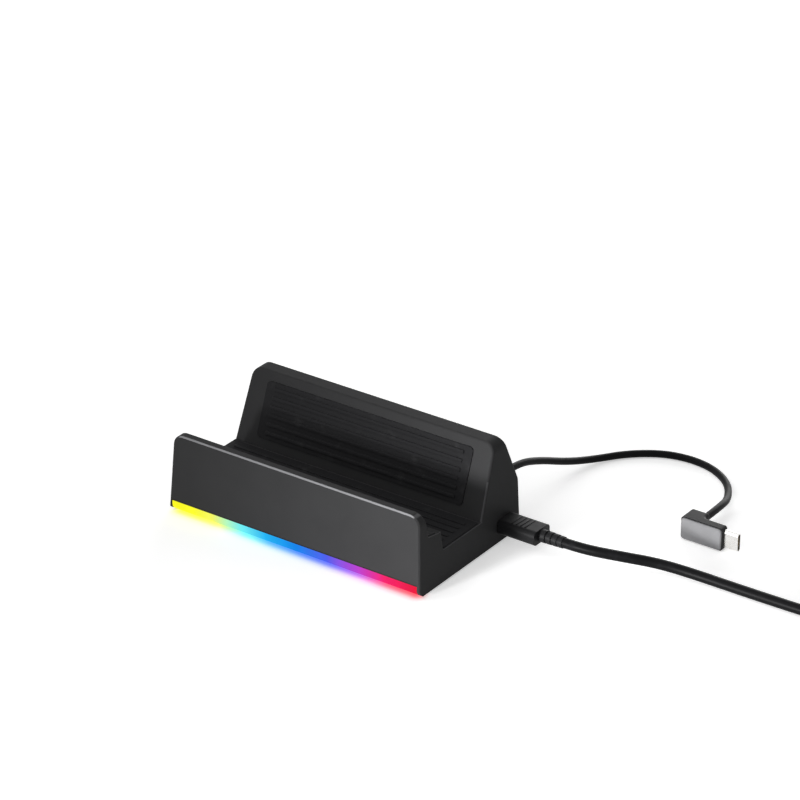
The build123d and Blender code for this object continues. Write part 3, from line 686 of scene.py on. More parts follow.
@dataclass(frozen=True)
class AnodisedFace(Finish):
    """Blasted and anodised aluminium."""

    grain_wear: float = 0.12
    patch: float = 5.0 * MM
    relief: float = 0.02 * MM
    blast_share: float = 0.4
    metallic: float = 0.35

    def paint(self, graph: Graph) -> None:
        """Fine blasted grain with a faint drift of tone.

        Args:
            graph: The material's empty graph.
        """
        blast = graph.noise(self.grain, detail=3.0)
        cloud = graph.noise(self.patch)
        drift = cloud * (1.0 - self.blast_share) + blast * self.blast_share
        tone = graph.mix(drift, self.dark, self.light)
        self.close(graph, tone, self.worn(blast), blast, {"Metallic": self.metallic})


# Finishes of the stand: label, dark and light tone, roughness, specular level, size of the grain
COAT = SatinCoat("satin_coat", (0.030, 0.030, 0.031), (0.040, 0.040, 0.041), 0.48, 0.025, 0.3 * MM)
PANEL = Finish("rear_panel_plastic", (0.010, 0.010, 0.011), (0.017, 0.017, 0.018), 0.55, 0.3)
COVER = Finish("cover_plastic", (0.012, 0.012, 0.013), (0.022, 0.022, 0.024), 0.62, 0.3, 0.5 * MM)
SILICONE = SoftPad("silicone", (0.008, 0.008, 0.009), (0.03, 0.03, 0.031), 0.78, 0.2)
RUBBER = SoftPad("foot_rubber", (0.010, 0.010, 0.010), (0.035, 0.034, 0.033), 0.85, 0.2, pitch=0.9 * MM)
DIFFUSER = LitDiffuser("lit_diffuser", (0.0015, 0.0015, 0.002), (0.005, 0.005, 0.006), 0.5, 0.03, 0.4 * MM)
BOARD = CircuitBoard("circuit_board", (0.006, 0.05, 0.02), (0.012, 0.075, 0.03), 0.4, 0.5)
CHIP = Finish("chip_resin", (0.012, 0.012, 0.012), (0.025, 0.025, 0.026), 0.55, 0.4, 0.2 * MM)
LIGHT_CHIP = LightChip("light_package", (0.75, 0.75, 0.72), (0.85, 0.62, 0.06), 0.4, 0.5)
SCREW = PlatedMetal(
    "screw_steel", (0.05, 0.05, 0.05), (0.16, 0.16, 0.17), 0.38, grain_stretch=(1.0, 1.0, 0.2))
SHELL = PlatedMetal("plated_shell", (0.38, 0.37, 0.35), (0.72, 0.71, 0.69), 0.26)
GOLD = PlatedMetal("gold_contact", (0.5, 0.32, 0.1), (0.9, 0.64, 0.24), 0.24, tarnish=0.2)
PORT = Finish("port_moulding", (0.008, 0.008, 0.008), (0.016, 0.016, 0.016), 0.5, 0.35, 0.25 * MM)
TONGUE = Finish("data_tongue", (0.012, 0.075, 0.36), (0.02, 0.11, 0.48), 0.45, 0.4, 0.25 * MM)
LENS = LampLens("lamp_lens", (0.12, 0.5, 0.06), (0.75, 0.32, 0.03), 0.25, 0.5)
BUTTON = Finish("button_plastic", (0.016, 0.016, 0.017), (0.028, 0.028, 0.03), 0.42, 0.35, 0.25 * MM)
PLUG = Finish("plug_moulding", (0.006, 0.006, 0.0065), (0.011, 0.011, 0.012), 0.5, 0.12, 0.3 * MM)
FACE = AnodisedFace("plug_face", (0.15, 0.15, 0.155), (0.21, 0.21, 0.217), 0.42, 0.4, 0.25 * MM)
JACKET = LeadJacket("lead_jacket", (0.003, 0.003, 0.0033), (0.008, 0.008, 0.009), 0.45, 0.07, 0.4 * MM)
TIE = WovenTie("woven_tie", (0.006, 0.006, 0.006), (0.035, 0.035, 0.036), 0.9, 0.1)


class Bench:
    """Edit-mode tools that new pieces are shaped with."""

    SMOOTH_ANGLE: float = radians(35.0)
    ROUND_SIDES: int = 64

    @staticmethod
    def hold(piece: Piece) -> None:
        """Make a piece the only selected object, and the active one.

        Args:
            piece: The piece.
        """
        bpy.ops.object.select_all(action="DESELECT")
        piece.select_set(True)
        bpy.context.view_layer.objects.active = piece

    @staticmethod
    def settle(piece: Piece, name: str) -> Piece:
        """Name a new piece and put its place into its mesh.

        Args:
            piece: The new object.
            name: Its name.

        Returns:
            The same object, at the origin.
        """
        piece.name = name
        piece.data.name = name
        Bench.hold(piece)
        bpy.ops.object.transform_apply(location=True, rotation=True, scale=True)
        return piece

    @staticmethod
    def block(name: str, middle: Sequence[float], size: Sequence[float]) -> Piece:
        """A block of a size along X, Y and Z about its middle, both in millimetres."""
        bpy.ops.mesh.primitive_cube_add(size=1.0, location=millimetres(*middle), scale=millimetres(*size))
        return Bench.settle(bpy.context.object, name)

    @staticmethod
    def round_bar(name: str, middle: Point, radius: float, depth: float, turn: float = 0.0) -> Piece:
        """A round bar about its middle.

        Args:
            name: The piece's name.
            middle: Its middle, in millimetres.
            radius: Radius in millimetres.
            depth: Length in millimetres.
            turn: Turn about X from upright, in degrees.

        Returns:
            The bar.
        """
        bpy.ops.mesh.primitive_cylinder_add(
            vertices=Bench.ROUND_SIDES, radius=radius * MM, depth=depth * MM,
            location=millimetres(*middle), rotation=(radians(turn), 0.0, 0.0))
        return Bench.settle(bpy.context.object, name)

    @staticmethod
    def pick(piece: Piece, kind: Pick, test: Test) -> None:
        """Open a piece for editing and select its elements that pass a test.

        Args:
            piece: The piece.
            kind: Kind of element.
            test: Takes an element's middle and its normal, or an edge's direction.
        """
        Bench.hold(piece)
        bpy.ops.object.mode_set(mode="EDIT")
        bpy.ops.mesh.select_mode(type=kind.value)
        bpy.ops.mesh.select_all(action="DESELECT")
        grid = bmesh.from_edit_mesh(piece.data)
        if kind is Pick.FACE:
            for face in grid.faces:
                face.select_set(test(face.calc_center_median(), face.normal))
        elif kind is Pick.EDGE:
            for edge in grid.edges:
                first, last = edge.verts
                edge.select_set(test((first.co + last.co) / 2, (last.co - first.co).normalized()))
        else:
            for vertex in grid.verts:
                vertex.select_set(test(vertex.co, vertex.normal))
        bmesh.update_edit_mesh(piece.data)

    @staticmethod
    def close() -> None:
        """Leave edit mode."""
        bpy.ops.object.mode_set(mode="OBJECT")

    @staticmethod
    def extrude(way: Point) -> None:
        """Draw the picked faces out by a way in millimetres."""
        bpy.ops.mesh.extrude_region_move(TRANSFORM_OT_translate={"value": millimetres(*way)})

    @staticmethod
    def bevel(width: float, segments: int) -> None:
        """Round the picked edges by a width in millimetres, and leave edit mode."""
        bpy.ops.mesh.bevel(offset=width * MM, segments=segments, affect="EDGES")
        Bench.close()

    @staticmethod
    def rings(steps: Sequence[Span]) -> None:
        """Inset the picked faces step by step, and leave edit mode.

        Args:
            steps: Width and rise of each step, in millimetres.
        """
        for width, rise in steps:
            bpy.ops.mesh.inset(thickness=width * MM, depth=rise * MM)
        Bench.close()

    @staticmethod
    def soften(piece: Piece, width: float, segments: int = 2) -> None:
        """Round every edge of a piece by a width in millimetres."""
        Bench.pick(piece, Pick.EDGE, lambda middle, way: True)
        Bench.bevel(width, segments)

    @staticmethod
    def smooth(piece: Piece) -> None:
        """Shade a piece smooth across its gentle edges."""
        Bench.hold(piece)
        bpy.ops.object.shade_smooth_by_angle(angle=Bench.SMOOTH_ANGLE)

    @staticmethod
    def copies(piece: Piece, shifts: Sequence[Sequence[float]]) -> list[Piece]:
        """Copy a piece, each copy with its own mesh.

        Args:
            piece: The first of the row.
            shifts: Where each copy goes from it, in millimetres.

        Returns:
            The piece and its copies.
        """
        made = [piece]
        for shift in shifts:
            Bench.hold(piece)
            bpy.ops.object.duplicate(linked=False)
            bpy.ops.transform.translate(value=millimetres(*shift))
            bpy.ops.object.transform_apply(location=True, rotation=True, scale=True)
            made.append(bpy.context.object)
        return made

    @staticmethod
    def joined(pieces: Sequence[Piece], name: str) -> Piece:
        """Join pieces into the first of them.

        Args:
            pieces: The pieces.
            name: Name of the whole.

        Returns:
            The whole.
        """
        Bench.hold(pieces[0])
        for piece in pieces:
            piece.select_set(True)
        bpy.ops.object.join()
        return Bench.settle(pieces[0], name)

    @staticmethod
    def carve(piece: Piece, tool: Piece) -> None:
        """Cut a tool's shape out of a piece and remove the tool.

        Args:
            piece: The piece.
            tool: The shape that is cut out.
        """
        Bench.hold(piece)
        cut = piece.modifiers.new("cut", "BOOLEAN")
        cut.operation = "DIFFERENCE"
        cut.object = tool
        bpy.ops.object.modifier_apply(modifier=cut.name)
        bpy.data.objects.remove(tool)

    @staticmethod
    def lay(piece: Piece, origin: Point, up: Point) -> None:
        """Move a piece shaped about the origin onto a face that leans about X.

        Args:
            piece: The piece, shaped with Z away from the face and Y up it.
            origin: The face's middle, in millimetres.
            up: Direction up the face.
        """
        across = Vector(RIGHT)
        rise = Vector(up).normalized()
        turn = Matrix((across, rise, across.cross(rise))).transposed().to_4x4()
        piece.matrix_world = Matrix.Translation(millimetres(*origin)) @ turn
        Bench.settle(piece, piece.name)


@dataclass(frozen=True)
class BarRow:
    """An even row of alike bars."""

    size: Point
    count: int
    step: Point
    edge: float = 0.0
    segments: int = 1

    def build(self, name: str, middle: Sequence[float]) -> Piece:
        """Make one bar, round its edges and repeat it.

        Args:
            name: The piece's name.
            middle: Middle of the row, in millimetres.

        Returns:
            The row as one piece.
        """
        step = Vector(self.step)
        bar = Bench.block(name, Vector(middle) - step * (self.count - 1) / 2, self.size)
        if self.edge:
            Bench.soften(bar, self.edge, self.segments)
        return Bench.joined(Bench.copies(bar, [step * index for index in range(1, self.count)]), name)


class Workshop:
    """The loaded frame, with what dresses it and takes in new pieces."""

    def __init__(self, nodes: dict[str, Piece]) -> None:
        """Keep the frame's nodes, and a place for finished materials."""
        self.nodes = nodes
        self.materials: dict[Finish, bpy.types.Material] = {}

    def material(self, finish: Finish) -> bpy.types.Material:
        """Material of a finish, made once.

        Args:
            finish: The finish.

        Returns:
            Its material.
        """
        if finish not in self.materials:
            made = bpy.data.materials.new(finish.label)
            made.use_nodes = True
            finish.paint(Graph(made.node_tree))
            self.materials[finish] = made
        return self.materials[finish]

    def dress(self, finish: Finish, *names: str) -> None:
        """Give a finish to nodes of the frame.

        Args:
            finish: The finish.
            names: The nodes.
        """
        for name in names:
            node = self.nodes[name]
            if not node.material_slots:
                node.data.materials.append(None)
            node.material_slots[0].material = self.material(finish)
            LOG.info("node %s: %s", name, finish.label)

    def take(
        self,
        piece: Piece,
        finish: Finish,
        body: Body = Body.DOCK,
        instead_of: Sequence[str] = (),
    ) -> None:
        """Finish a new piece and let it ride on the frame.

        Args:
            piece: The piece.
            finish: Its finish.
            body: The body that carries it.
            instead_of: Nodes that it stands for.
        """
        piece.data.materials.clear()
        piece.data.materials.append(self.material(finish))
        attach(piece, body.value)
        if instead_of:
            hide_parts(*instead_of)
        LOG.info("piece %s: %s", piece.name, finish.label)


@dataclass
class HousingShell:
    """The drafted moulding and the panel let into its back."""

    def build(self, shop: Workshop) -> None:
        """Dress the moulding and the panel."""
        shop.dress(COAT, "housing")
        shop.dress(PANEL, "rear_panel")


@dataclass
class CradlePads:
    """Soft pads of the shelf, the trough and the backrest, with raised ribs on two of them."""

    rib_height: float = 0.9
    trough_ribs: BarRow = BarRow((118.0, 1.6, rib_height), 5, (0.0, 3.9, 0.0), edge=0.35, segments=3)
    trough_middle: Point = (0.0, -5.0, 15.3)
    rest_ribs: BarRow = BarRow((97.0, 1.6, rib_height), 6, (0.0, 3.8, 0.0), edge=0.35, segments=3)
    rest_middle: Point = (0.0, 14.33, 30.65)
    rest_up: Point = (0.0, 0.355, 0.935)

    def build(self, shop: Workshop) -> None:
        """Dress the pads and lay ribs on two of them.

        Args:
            shop: Dresses the nodes and takes the pieces in.
        """
        # Black silicone pads; where they reach the ends of the shelf and trough they also stand in for the
        # shade inside the notches
        shop.dress(SILICONE, "shelf_pad", "trough_pad", "rest_pad")
        for name, ribs, middle, up in (("trough_pad_ribs", self.trough_ribs, self.trough_middle, BACK),
                                       ("rest_pad_ribs", self.rest_ribs, self.rest_middle, self.rest_up)):
            piece = ribs.build(name, (0.0, 0.0, self.rib_height / 2))
            Bench.smooth(piece)
            Bench.lay(piece, middle, up)
            shop.take(piece, SILICONE)


@dataclass
class LightStrip:
    """Diffuser bar along the foot of the plate, with a black strip for the shade of the gap above it and the
    lights behind it.
    """

    bar_top: float = 5.85
    # Black strip that stands in for the shade in the gap above the bar
    gap_shade_height: float = 0.35
    gap_shade_depth: float = 0.6
    gap_shade_proud: float = 0.03

    def shade_strip(self) -> Piece:
        """Thin black strip between the bar and the plate's foot, put where the gap between them is in shade.

        Returns:
            The strip.
        """
        low, high = (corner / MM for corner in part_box("light_bar"))
        front = low.y - self.gap_shade_proud
        middle = ((low.x + high.x) / 2, front + self.gap_shade_depth / 2, self.bar_top + self.gap_shade_height / 2)
        piece = Bench.block("gap_shade_strip", middle, (high.x - low.x, self.gap_shade_depth, self.gap_shade_height))
        Bench.soften(piece, self.gap_shade_proud / 2)
        Bench.smooth(piece)
        return piece

    def build(self, shop: Workshop) -> None:
        """Dress the bar, its lights and their board, and run a black strip along the bar where the gap above
        it is in shade.

        Args:
            shop: Dresses the nodes and takes the pieces in.
        """
        shop.dress(DIFFUSER, "light_bar")
        shop.dress(LIGHT_CHIP, "lights")
        shop.dress(BOARD, "light_board")
        # The black strip stands in for the shade in the gap between the bar and the plate
        shop.take(self.shade_strip(), RUBBER)


@dataclass
class Underside:
    """Bottom cover, its screws and the rubber feet."""

    feet: tuple[str, ...] = ("foot_front_left", "foot_front_right", "foot_rear_left", "foot_rear_right")
    foot_radius: float = 5.5
    foot_height: float = 1.6
    foot_break: float = 0.4
    sole_rings: tuple[Span, ...] = ((1.3, 0.0), (0.4, -0.3), (1.0, 0.0), (0.4, 0.3))
    screw_places: tuple[Span, ...] = ((-38.0, -26.0), (38.0, -26.0), (-27.0, 4.0), (27.0, 4.0))
    screw_sides: int = 48
    head_foot: float = 0.8
    head_height: float = 1.2
    head_radius: float = 2.5
    shank_radius: float = 1.3
    shank_top: float = 9.8
    point_length: float = 0.5
    point_share: float = 0.6
    recess_length: float = 3.0
    recess_width: float = 0.75
    recess_depth: float = 1.3
    recess_start: float = 0.5
    recess_taper: float = 0.55

    def foot(self, name: str, centre: Vector) -> Piece:
        """One foot, with a broken edge and a ringed sole.

        Args:
            name: The piece's name.
            centre: Middle of the foot's box, in metres.

        Returns:
            The foot.
        """
        place = (centre.x / MM, centre.y / MM, self.foot_height / 2)
        piece = Bench.round_bar(name, place, self.foot_radius, self.foot_height)
        Bench.pick(piece, Pick.FACE, lambda middle, normal: normal.z < -TURNED)
        Bench.bevel(self.foot_break, segments=3)
        Bench.pick(piece, Pick.FACE, lambda middle, normal: normal.z < -FLAT)
        Bench.rings(self.sole_rings)
        Bench.smooth(piece)
        return piece

    def screw(self, name: str) -> Piece:
        """A countersunk screw about the origin, with a cross recess.

        Args:
            name: The piece's name.

        Returns:
            The screw.
        """
        bpy.ops.mesh.primitive_cone_add(
            vertices=self.screw_sides, radius1=self.head_radius * MM, radius2=self.shank_radius * MM,
            depth=self.head_height * MM,
            location=millimetres(0.0, 0.0, self.head_foot + self.head_height / 2))
        piece = Bench.settle(bpy.context.object, name)
        Bench.pick(piece, Pick.FACE, lambda middle, normal: normal.z > TURNED)
        Bench.extrude((0.0, 0.0, self.shank_top - self.head_foot - self.head_height - self.point_length))
        Bench.extrude((0.0, 0.0, self.point_length))
        bpy.ops.transform.resize(value=(self.point_share, self.point_share, 1.0))
        Bench.close()
        middle = (0.0, 0.0, self.head_foot + (self.recess_depth - self.recess_start) / 2)
        height = self.recess_depth + self.recess_start
        for size in ((self.recess_length, self.recess_width, height),
                     (self.recess_width, self.recess_length, height)):
            tool = Bench.block("screw_recess", middle, size)
            Bench.pick(tool, Pick.FACE, lambda place, normal: normal.z > TURNED)
            bpy.ops.transform.resize(value=(self.recess_taper, self.recess_taper, 1.0))
            Bench.close()
            Bench.carve(piece, tool)
        Bench.smooth(piece)
        return piece

    def build(self, shop: Workshop) -> None:
        """Dress the cover, and model its feet and screws.

        Args:
            shop: Dresses the nodes and takes the pieces in.
        """
        shop.dress(COVER, "bottom_cover")
        for name in self.feet:
            low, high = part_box(name)
            piece = self.foot(f"{name}_sole", (low + high) / 2)
            shop.take(piece, RUBBER, instead_of=(name,))
        first = self.screw("cross_screws")
        screws = Bench.copies(first, [(x, y, 0.0) for x, y in self.screw_places])
        whole = Bench.joined(screws[1:], "cross_screws_set")
        bpy.data.objects.remove(first)
        shop.take(whole, SCREW, instead_of=("cover_screws",))


@dataclass
class Electronics:
    """Main board with what is soldered to it."""

    def build(self, shop: Workshop) -> None:
        """Dress the board, its chips and the switch."""
        shop.dress(BOARD, "main_board")
        shop.dress(CHIP, "board_chips", "light_switch")


@dataclass
class PortBank:
    """Ports along the back and in the right-hand end, with their contacts and springs."""

    back: float = 36.0
    board_top: float = 6.6
    sheet: float = 0.4
    data_places: tuple[float, ...] = (-17.25, -0.8, 15.65)
    data_height: float = 5.9
    data_contacts: BarRow = BarRow((1.0, 7.0, 0.16), 4, (7.0 / 3, 0.0, 0.0), edge=0.05)
    data_contact_depth: float = 5.4
    tongue_foot: float = 9.5
    video_x: float = 33.0
    video_middle: float = 9.5
    video_half: float = 0.65
    video_upper: BarRow = BarRow((0.5, 6.0, 0.16), 10, (1.0, 0.0, 0.0), edge=0.05)
    video_lower: BarRow = BarRow((0.5, 6.0, 0.16), 9, (1.0, 0.0, 0.0), edge=0.05)
    video_contact_depth: float = 5.0
    spring_size: Point = (2.2, 6.5, 0.15)
    spring_bows: tuple[Span, ...] = ((0.25, 0.55), (0.4, 1.0), (0.55, 1.0), (0.7, 0.55))
    spring_edge: float = 0.04
    spring_side: float = 3.1
    spring_depth: float = 1.2
    roof_dip: float = -0.3
    floor_dip: float = 0.7

    def spring(self, name: str, place: Point, dip: float) -> Piece:
        """A leaf spring inside a shell, bowed towards the tongue.

        Args:
            name: The piece's name.
            place: Middle of the leaf's mouth end, on the shell's wall.
            dip: How far it bows along Z.

        Returns:
            The leaf.
        """
        x, y, z = place
        length, thick = self.spring_size[1:]
        piece = Bench.block(name, (x, y - length / 2, z + copysign(thick / 2, dip)), self.spring_size)
        for share, _ in self.spring_bows:
            Bench.pick(piece, Pick.FACE, lambda middle, normal: True)
            bpy.ops.mesh.bisect(plane_co=millimetres(x, y - share * length, z), plane_no=BACK)
            Bench.close()
        for share, bow in self.spring_bows:
            line = (y - share * length) * MM
            Bench.pick(piece, Pick.VERTEX, lambda middle, normal: abs(middle.y - line) < NEAR)
            bpy.ops.transform.translate(value=millimetres(0.0, 0.0, bow * dip))
            Bench.close()
        Bench.soften(piece, self.spring_edge, segments=1)
        Bench.smooth(piece)
        return piece

    def data_details(self, shop: Workshop, index: int, place: float) -> None:
        """Contacts under one data port's tongue, and its four springs.

        Args:
            shop: Takes the pieces in.
            index: The port's number.
            place: The port's middle along X.
        """
        middle = (place, self.back - self.data_contact_depth, self.tongue_foot)
        row = self.data_contacts.build(f"data_contacts_{index}", middle)
        shop.take(row, GOLD)
        roof = self.board_top + self.data_height - self.sheet
        floor = self.board_top + self.sheet
        mouth = self.back - self.spring_depth
        springs = []
        for side in (-self.spring_side, self.spring_side):
            springs.append(self.spring("roof_spring", (place + side, mouth, roof), self.roof_dip))
            springs.append(self.spring("floor_spring", (place + side, mouth, floor), self.floor_dip))
        whole = Bench.joined(springs, f"data_springs_{index}")
        shop.take(whole, SHELL)

    def build(self, shop: Workshop) -> None:
        """Dress the ports and add their contacts and springs.

        Args:
            shop: Dresses the nodes and takes the pieces in.
        """
        shop.dress(PORT, "network_port", "video_tongue", "power_tongue")
        shop.dress(GOLD, "network_contacts")
        shop.dress(LENS, "network_lamps")
        for index, place in enumerate(self.data_places, start=1):
            shop.dress(SHELL, f"data_port_{index}")
            shop.dress(TONGUE, f"data_tongue_{index}")
            self.data_details(shop, index, place)
        shop.dress(SHELL, "video_port", "power_port")
        y = self.back - self.video_contact_depth
        rows = []
        for contacts, side in ((self.video_upper, self.video_half), (self.video_lower, -self.video_half)):
            rows.append(contacts.build("video_row", (self.video_x, y, self.video_middle + side)))
        shop.take(Bench.joined(rows, "video_contacts"), GOLD)


@dataclass
class LightButton:
    """Push button in the rear panel that steps through the colours."""

    centre_x: float = -50.05
    centre_z: float = 10.2
    radius: float = 2.5
    face: float = 36.9
    seat: float = 32.5
    flange: float = 3.7
    flange_back: float = 31.7
    edge_round: float = 0.4
    dish: tuple[Span, ...] = ((0.35, 0.0), (0.3, -0.12), (0.6, -0.08))

    def build(self, shop: Workshop) -> None:
        """Model the button with its flange and dished face.

        Args:
            shop: Takes the piece in.
        """
        middle = (self.centre_x, (self.face + self.seat) / 2, self.centre_z)
        piece = Bench.round_bar("light_button_cap", middle, self.radius, self.face - self.seat, turn=-90.0)
        grow = self.flange / self.radius
        pivot = millimetres(self.centre_x, self.seat, self.centre_z)
        Bench.pick(piece, Pick.FACE, lambda place, normal: normal.y < -TURNED)
        Bench.extrude((0.0, 0.0, 0.0))
        bpy.ops.transform.resize(value=(grow, 1.0, grow), center_override=pivot)
        Bench.extrude((0.0, self.flange_back - self.seat, 0.0))
        Bench.close()
        outside = middle[1] * MM
        Bench.pick(piece, Pick.FACE, lambda place, normal: normal.y > TURNED and place.y > outside)
        Bench.bevel(self.edge_round, segments=4)
        Bench.pick(piece, Pick.FACE, lambda place, normal: normal.y > FLAT and place.y > outside)
        Bench.rings(self.dish)
        Bench.smooth(piece)
        shop.take(piece, BUTTON, Body.BUTTON, instead_of=("light_button",))


@dataclass
class Cord:
    """A lead's free length as one smooth line."""

    name: str
    diameter: float
    route: Sequence[Point]
    round_steps: int = 6
    line_steps: int = 8

    def build(self) -> Piece:
        """Curve the line through its route and give it its thickness.

        Returns:
            The curve object.
        """
        curve = bpy.data.curves.new(self.name, "CURVE")
        curve.dimensions = "3D"
        curve.bevel_depth = self.diameter / 2 * MM
        curve.bevel_resolution = self.round_steps
        curve.use_fill_caps = True
        spline = curve.splines.new("NURBS")
        spline.points.add(len(self.route) - 1)
        for point, place in zip(spline.points, self.route):
            point.co = (*millimetres(*place), 1.0)
        spline.order_u = 3
        spline.use_endpoint_u = True
        spline.resolution_u = self.line_steps
        piece = bpy.data.objects.new(self.name, curve)
        bpy.context.scene.collection.objects.link(piece)
        return piece


@dataclass
class PlugDetail:
    """Grip bars of a straight plug and the contacts in an open tip."""

    bars: BarRow = BarRow((0.8, 7.4, 0.5), 4, (2.1, 0.0, 0.0), edge=0.22, segments=3)
    contact: Point = (4.6, 0.28, 0.12)
    contacts: int = 8
    contact_pitch: float = 0.62
    contact_depth: float = 0.7

    def grip(self, name: str, middle: Point, half_height: float) -> Piece:
        """Bars across the top and bottom of a straight plug.

        Args:
            name: The piece's name.
            middle: Middle of the gripped length, on the plug's axis.
            half_height: From the axis to the broad faces.

        Returns:
            The bars as one piece.
        """
        x, y, z = middle
        rows = [self.bars.build(name, (x, y, z + side * half_height)) for side in (-1, 1)]
        piece = Bench.joined(rows, name)
        Bench.smooth(piece)
        return piece

    def tip_contacts(self, name: str, mouth: Point, wall: float, step: Point) -> Piece:
        """Contacts on both inner walls of a tip that opens towards +X.

        Args:
            name: The piece's name.
            mouth: Middle of the tip's open end.
            wall: From the tip's axis to its inner walls.
            step: Direction along the walls, across the tip.

        Returns:
            The contacts as one piece.
        """
        ahead = Vector(RIGHT)
        across = Vector(step)
        out = ahead.cross(across)
        reach, width, thick = self.contact
        size = reach * ahead + width * across + thick * Vector([abs(part) for part in out])
        row = BarRow(tuple(size), self.contacts, tuple(self.contact_pitch * across))
        middle = Vector(mouth) - (reach / 2 + self.contact_depth) * ahead
        rows = [row.build(name, middle + side * (wall - thick / 2) * out) for side in (-1, 1)]
        return Bench.joined(rows, name)


@dataclass
class CaptiveLead:
    """Captive lead with its gland and its right-angle plug."""

    diameter: float = 3.2
    length: float = 0.165
    tip_mouth: Point = (148.2, 70.85, 5.2)
    tip_wall: float = 0.85
    route: tuple[Point, ...] = (
        (48.75, 50.0, 17.0),
        (48.75, 58.0, 17.0),
        (50.0, 72.0, 12.4),
        (53.0, 88.0, 5.6),
        (57.5, 102.0, 2.0),
        (66.5, 116.0, 1.6),
        (81.0, 126.0, 1.6),
        (99.0, 127.0, 1.6),
        (114.0, 119.0, 1.6),
        (123.0, 105.0, 2.4),
        (126.2, 92.0, 5.2),
        (126.2, 80.0, 5.2),
    )

    def build(self, shop: Workshop) -> None:
        """Dress the gland and the plug, and lay the lead.

        Args:
            shop: Dresses the nodes and takes the pieces in.
        """
        shop.dress(PLUG, "lead_gland", "console_plug_body")
        shop.dress(FACE, "console_plug_face")
        shop.dress(SHELL, "console_plug_tip")
        contacts = PlugDetail().tip_contacts("console_plug_contacts", self.tip_mouth, self.tip_wall, UP)
        shop.take(contacts, GOLD)
        cord = Cord("console_cord", self.diameter, self.route).build()
        shop.take(cord, JACKET, instead_of=("console_lead",))


@dataclass
class PowerLead:
    """Power lead from its plug in the stand's end to the far plug on its coil."""

    diameter: float = 4.5
    length: float = 1.0
    run: tuple[Point, ...] = (
        (92.9106, 25.0, 8.23),
        (102.0, 25.0, 8.23),
        (116.5, 31.0, 6.8),
        (130.0, 38.8, 4.4),
        (146.0, 42.3, 2.6),
        (168.0, 42.7, 2.26),
        (201.0, 42.9, 2.5),
    )
    coil_x: float = 220.0
    coil_y: float = 72.15
    outer: float = 29.25
    inner: float = 24.75
    layers: Point = (3.05, 7.55, 12.05)
    spread: float = 1.0154
    entry_angle: float = -90.0
    turned: int = 1780
    point_step: int = 20
    plug_radius: float = 27.0
    plug_height: float = 17.5
    plug_approach: Span = (8.0, 2.0)
    near_grip: Point = (72.9, 25.0, 8.23)
    far_grip: Point = (238.0, 45.15, 17.5)
    grip_half_height: float = 3.2
    tip_mouth: Point = (253.4, 45.15, 17.5)
    tip_wall: float = 0.85
    tie_angle: float = 200.0
    tab_size: Point = (8.8, 6.8, 0.8)
    tab_height: float = 15.35
    tab_corner: float = 2.2
    tab_rim: tuple[Span, ...] = ((0.5, -0.2),)

    def stations(self) -> list[Point]:
        """Where the coil changes its radius or its layer.

        Returns:
            Turn in degrees, radius and height of each place, in order.
        """
        low, middle, high = self.layers
        return [
            (0.0, self.outer, low),
            (255.0, self.outer, low),
            (315.0, self.inner, low),
            (555.0, self.inner, low),
            (615.0, self.inner, middle),
            (855.0, self.inner, middle),
            (915.0, self.outer, middle),
            (1155.0, self.outer, middle),
            (1215.0, self.outer, high),
            (1455.0, self.outer, high),
            (1515.0, self.inner, high),
            (1640.0, self.inner, high),
            (self.turned, self.plug_radius, self.plug_height),
        ]

    def turns(self) -> list[Point]:
        """Points of the coil's turns, from the run to the far plug.

        Returns:
            The points, in millimetres.
        """
        stations = self.stations()
        points = []
        for turn in range(self.point_step, self.turned, self.point_step):
            last = next(index for index, station in enumerate(stations) if station[0] >= turn)
            before, after = stations[last - 1], stations[last]
            share = (turn - before[0]) / (after[0] - before[0])
            ease = share * share * (3.0 - 2.0 * share)
            radius = (before[1] + (after[1] - before[1]) * ease) * self.spread
            height = before[2] + (after[2] - before[2]) * ease
            angle = radians(turn + self.entry_angle)
            points.append((self.coil_x + radius * cos(angle), self.coil_y + radius * sin(angle), height))
        plug_y = self.coil_y - self.plug_radius
        return points + [(self.coil_x - gap, plug_y, self.plug_height) for gap in self.plug_approach]

    def tie_tab(self) -> Piece:
        """Rounded end of the tie, lapped over its top.

        Returns:
            The tab.
        """
        angle = radians(self.tie_angle)
        x = self.coil_x + self.plug_radius * cos(angle)
        y = self.coil_y + self.plug_radius * sin(angle)
        piece = Bench.block("tie_tab", (0.0, 0.0, self.tab_height), self.tab_size)
        Bench.pick(piece, Pick.EDGE, lambda middle, way: abs(way.z) > TURNED)
        Bench.bevel(self.tab_corner, segments=5)
        Bench.pick(piece, Pick.FACE, lambda middle, normal: normal.z > TURNED)
        Bench.rings(self.tab_rim)
        piece.matrix_world = Matrix.Translation(millimetres(x, y, 0.0)) @ Matrix.Rotation(angle, 4, "Z")
        return Bench.settle(piece, "tie_tab")

    def build(self, shop: Workshop) -> None:
        """Dress the plugs and the tie, and lay the lead with its coil.

        Args:
            shop: Dresses the nodes and takes the pieces in.
        """
        shop.dress(PLUG, "power_plug_body", "far_plug_body")
        shop.dress(SHELL, "power_plug_tip", "far_plug_tip")
        shop.dress(TIE, "lead_tie")
        detail = PlugDetail()
        near_grip = detail.grip("power_plug_grip", self.near_grip, self.grip_half_height)
        shop.take(near_grip, PLUG)
        far_grip = detail.grip("far_plug_grip", self.far_grip, self.grip_half_height)
        shop.take(far_grip, PLUG)
        contacts = detail.tip_contacts("far_plug_contacts", self.tip_mouth, self.tip_wall, BACK)
        shop.take(contacts, GOLD)
        tab = self.tie_tab()
        shop.take(tab, TIE)
        route = [*self.run, *self.turns()]
        cord = Cord("power_cord", self.diameter, route).build()
        shop.take(cord, JACKET, instead_of=("power_lead", "power_lead_coil"))


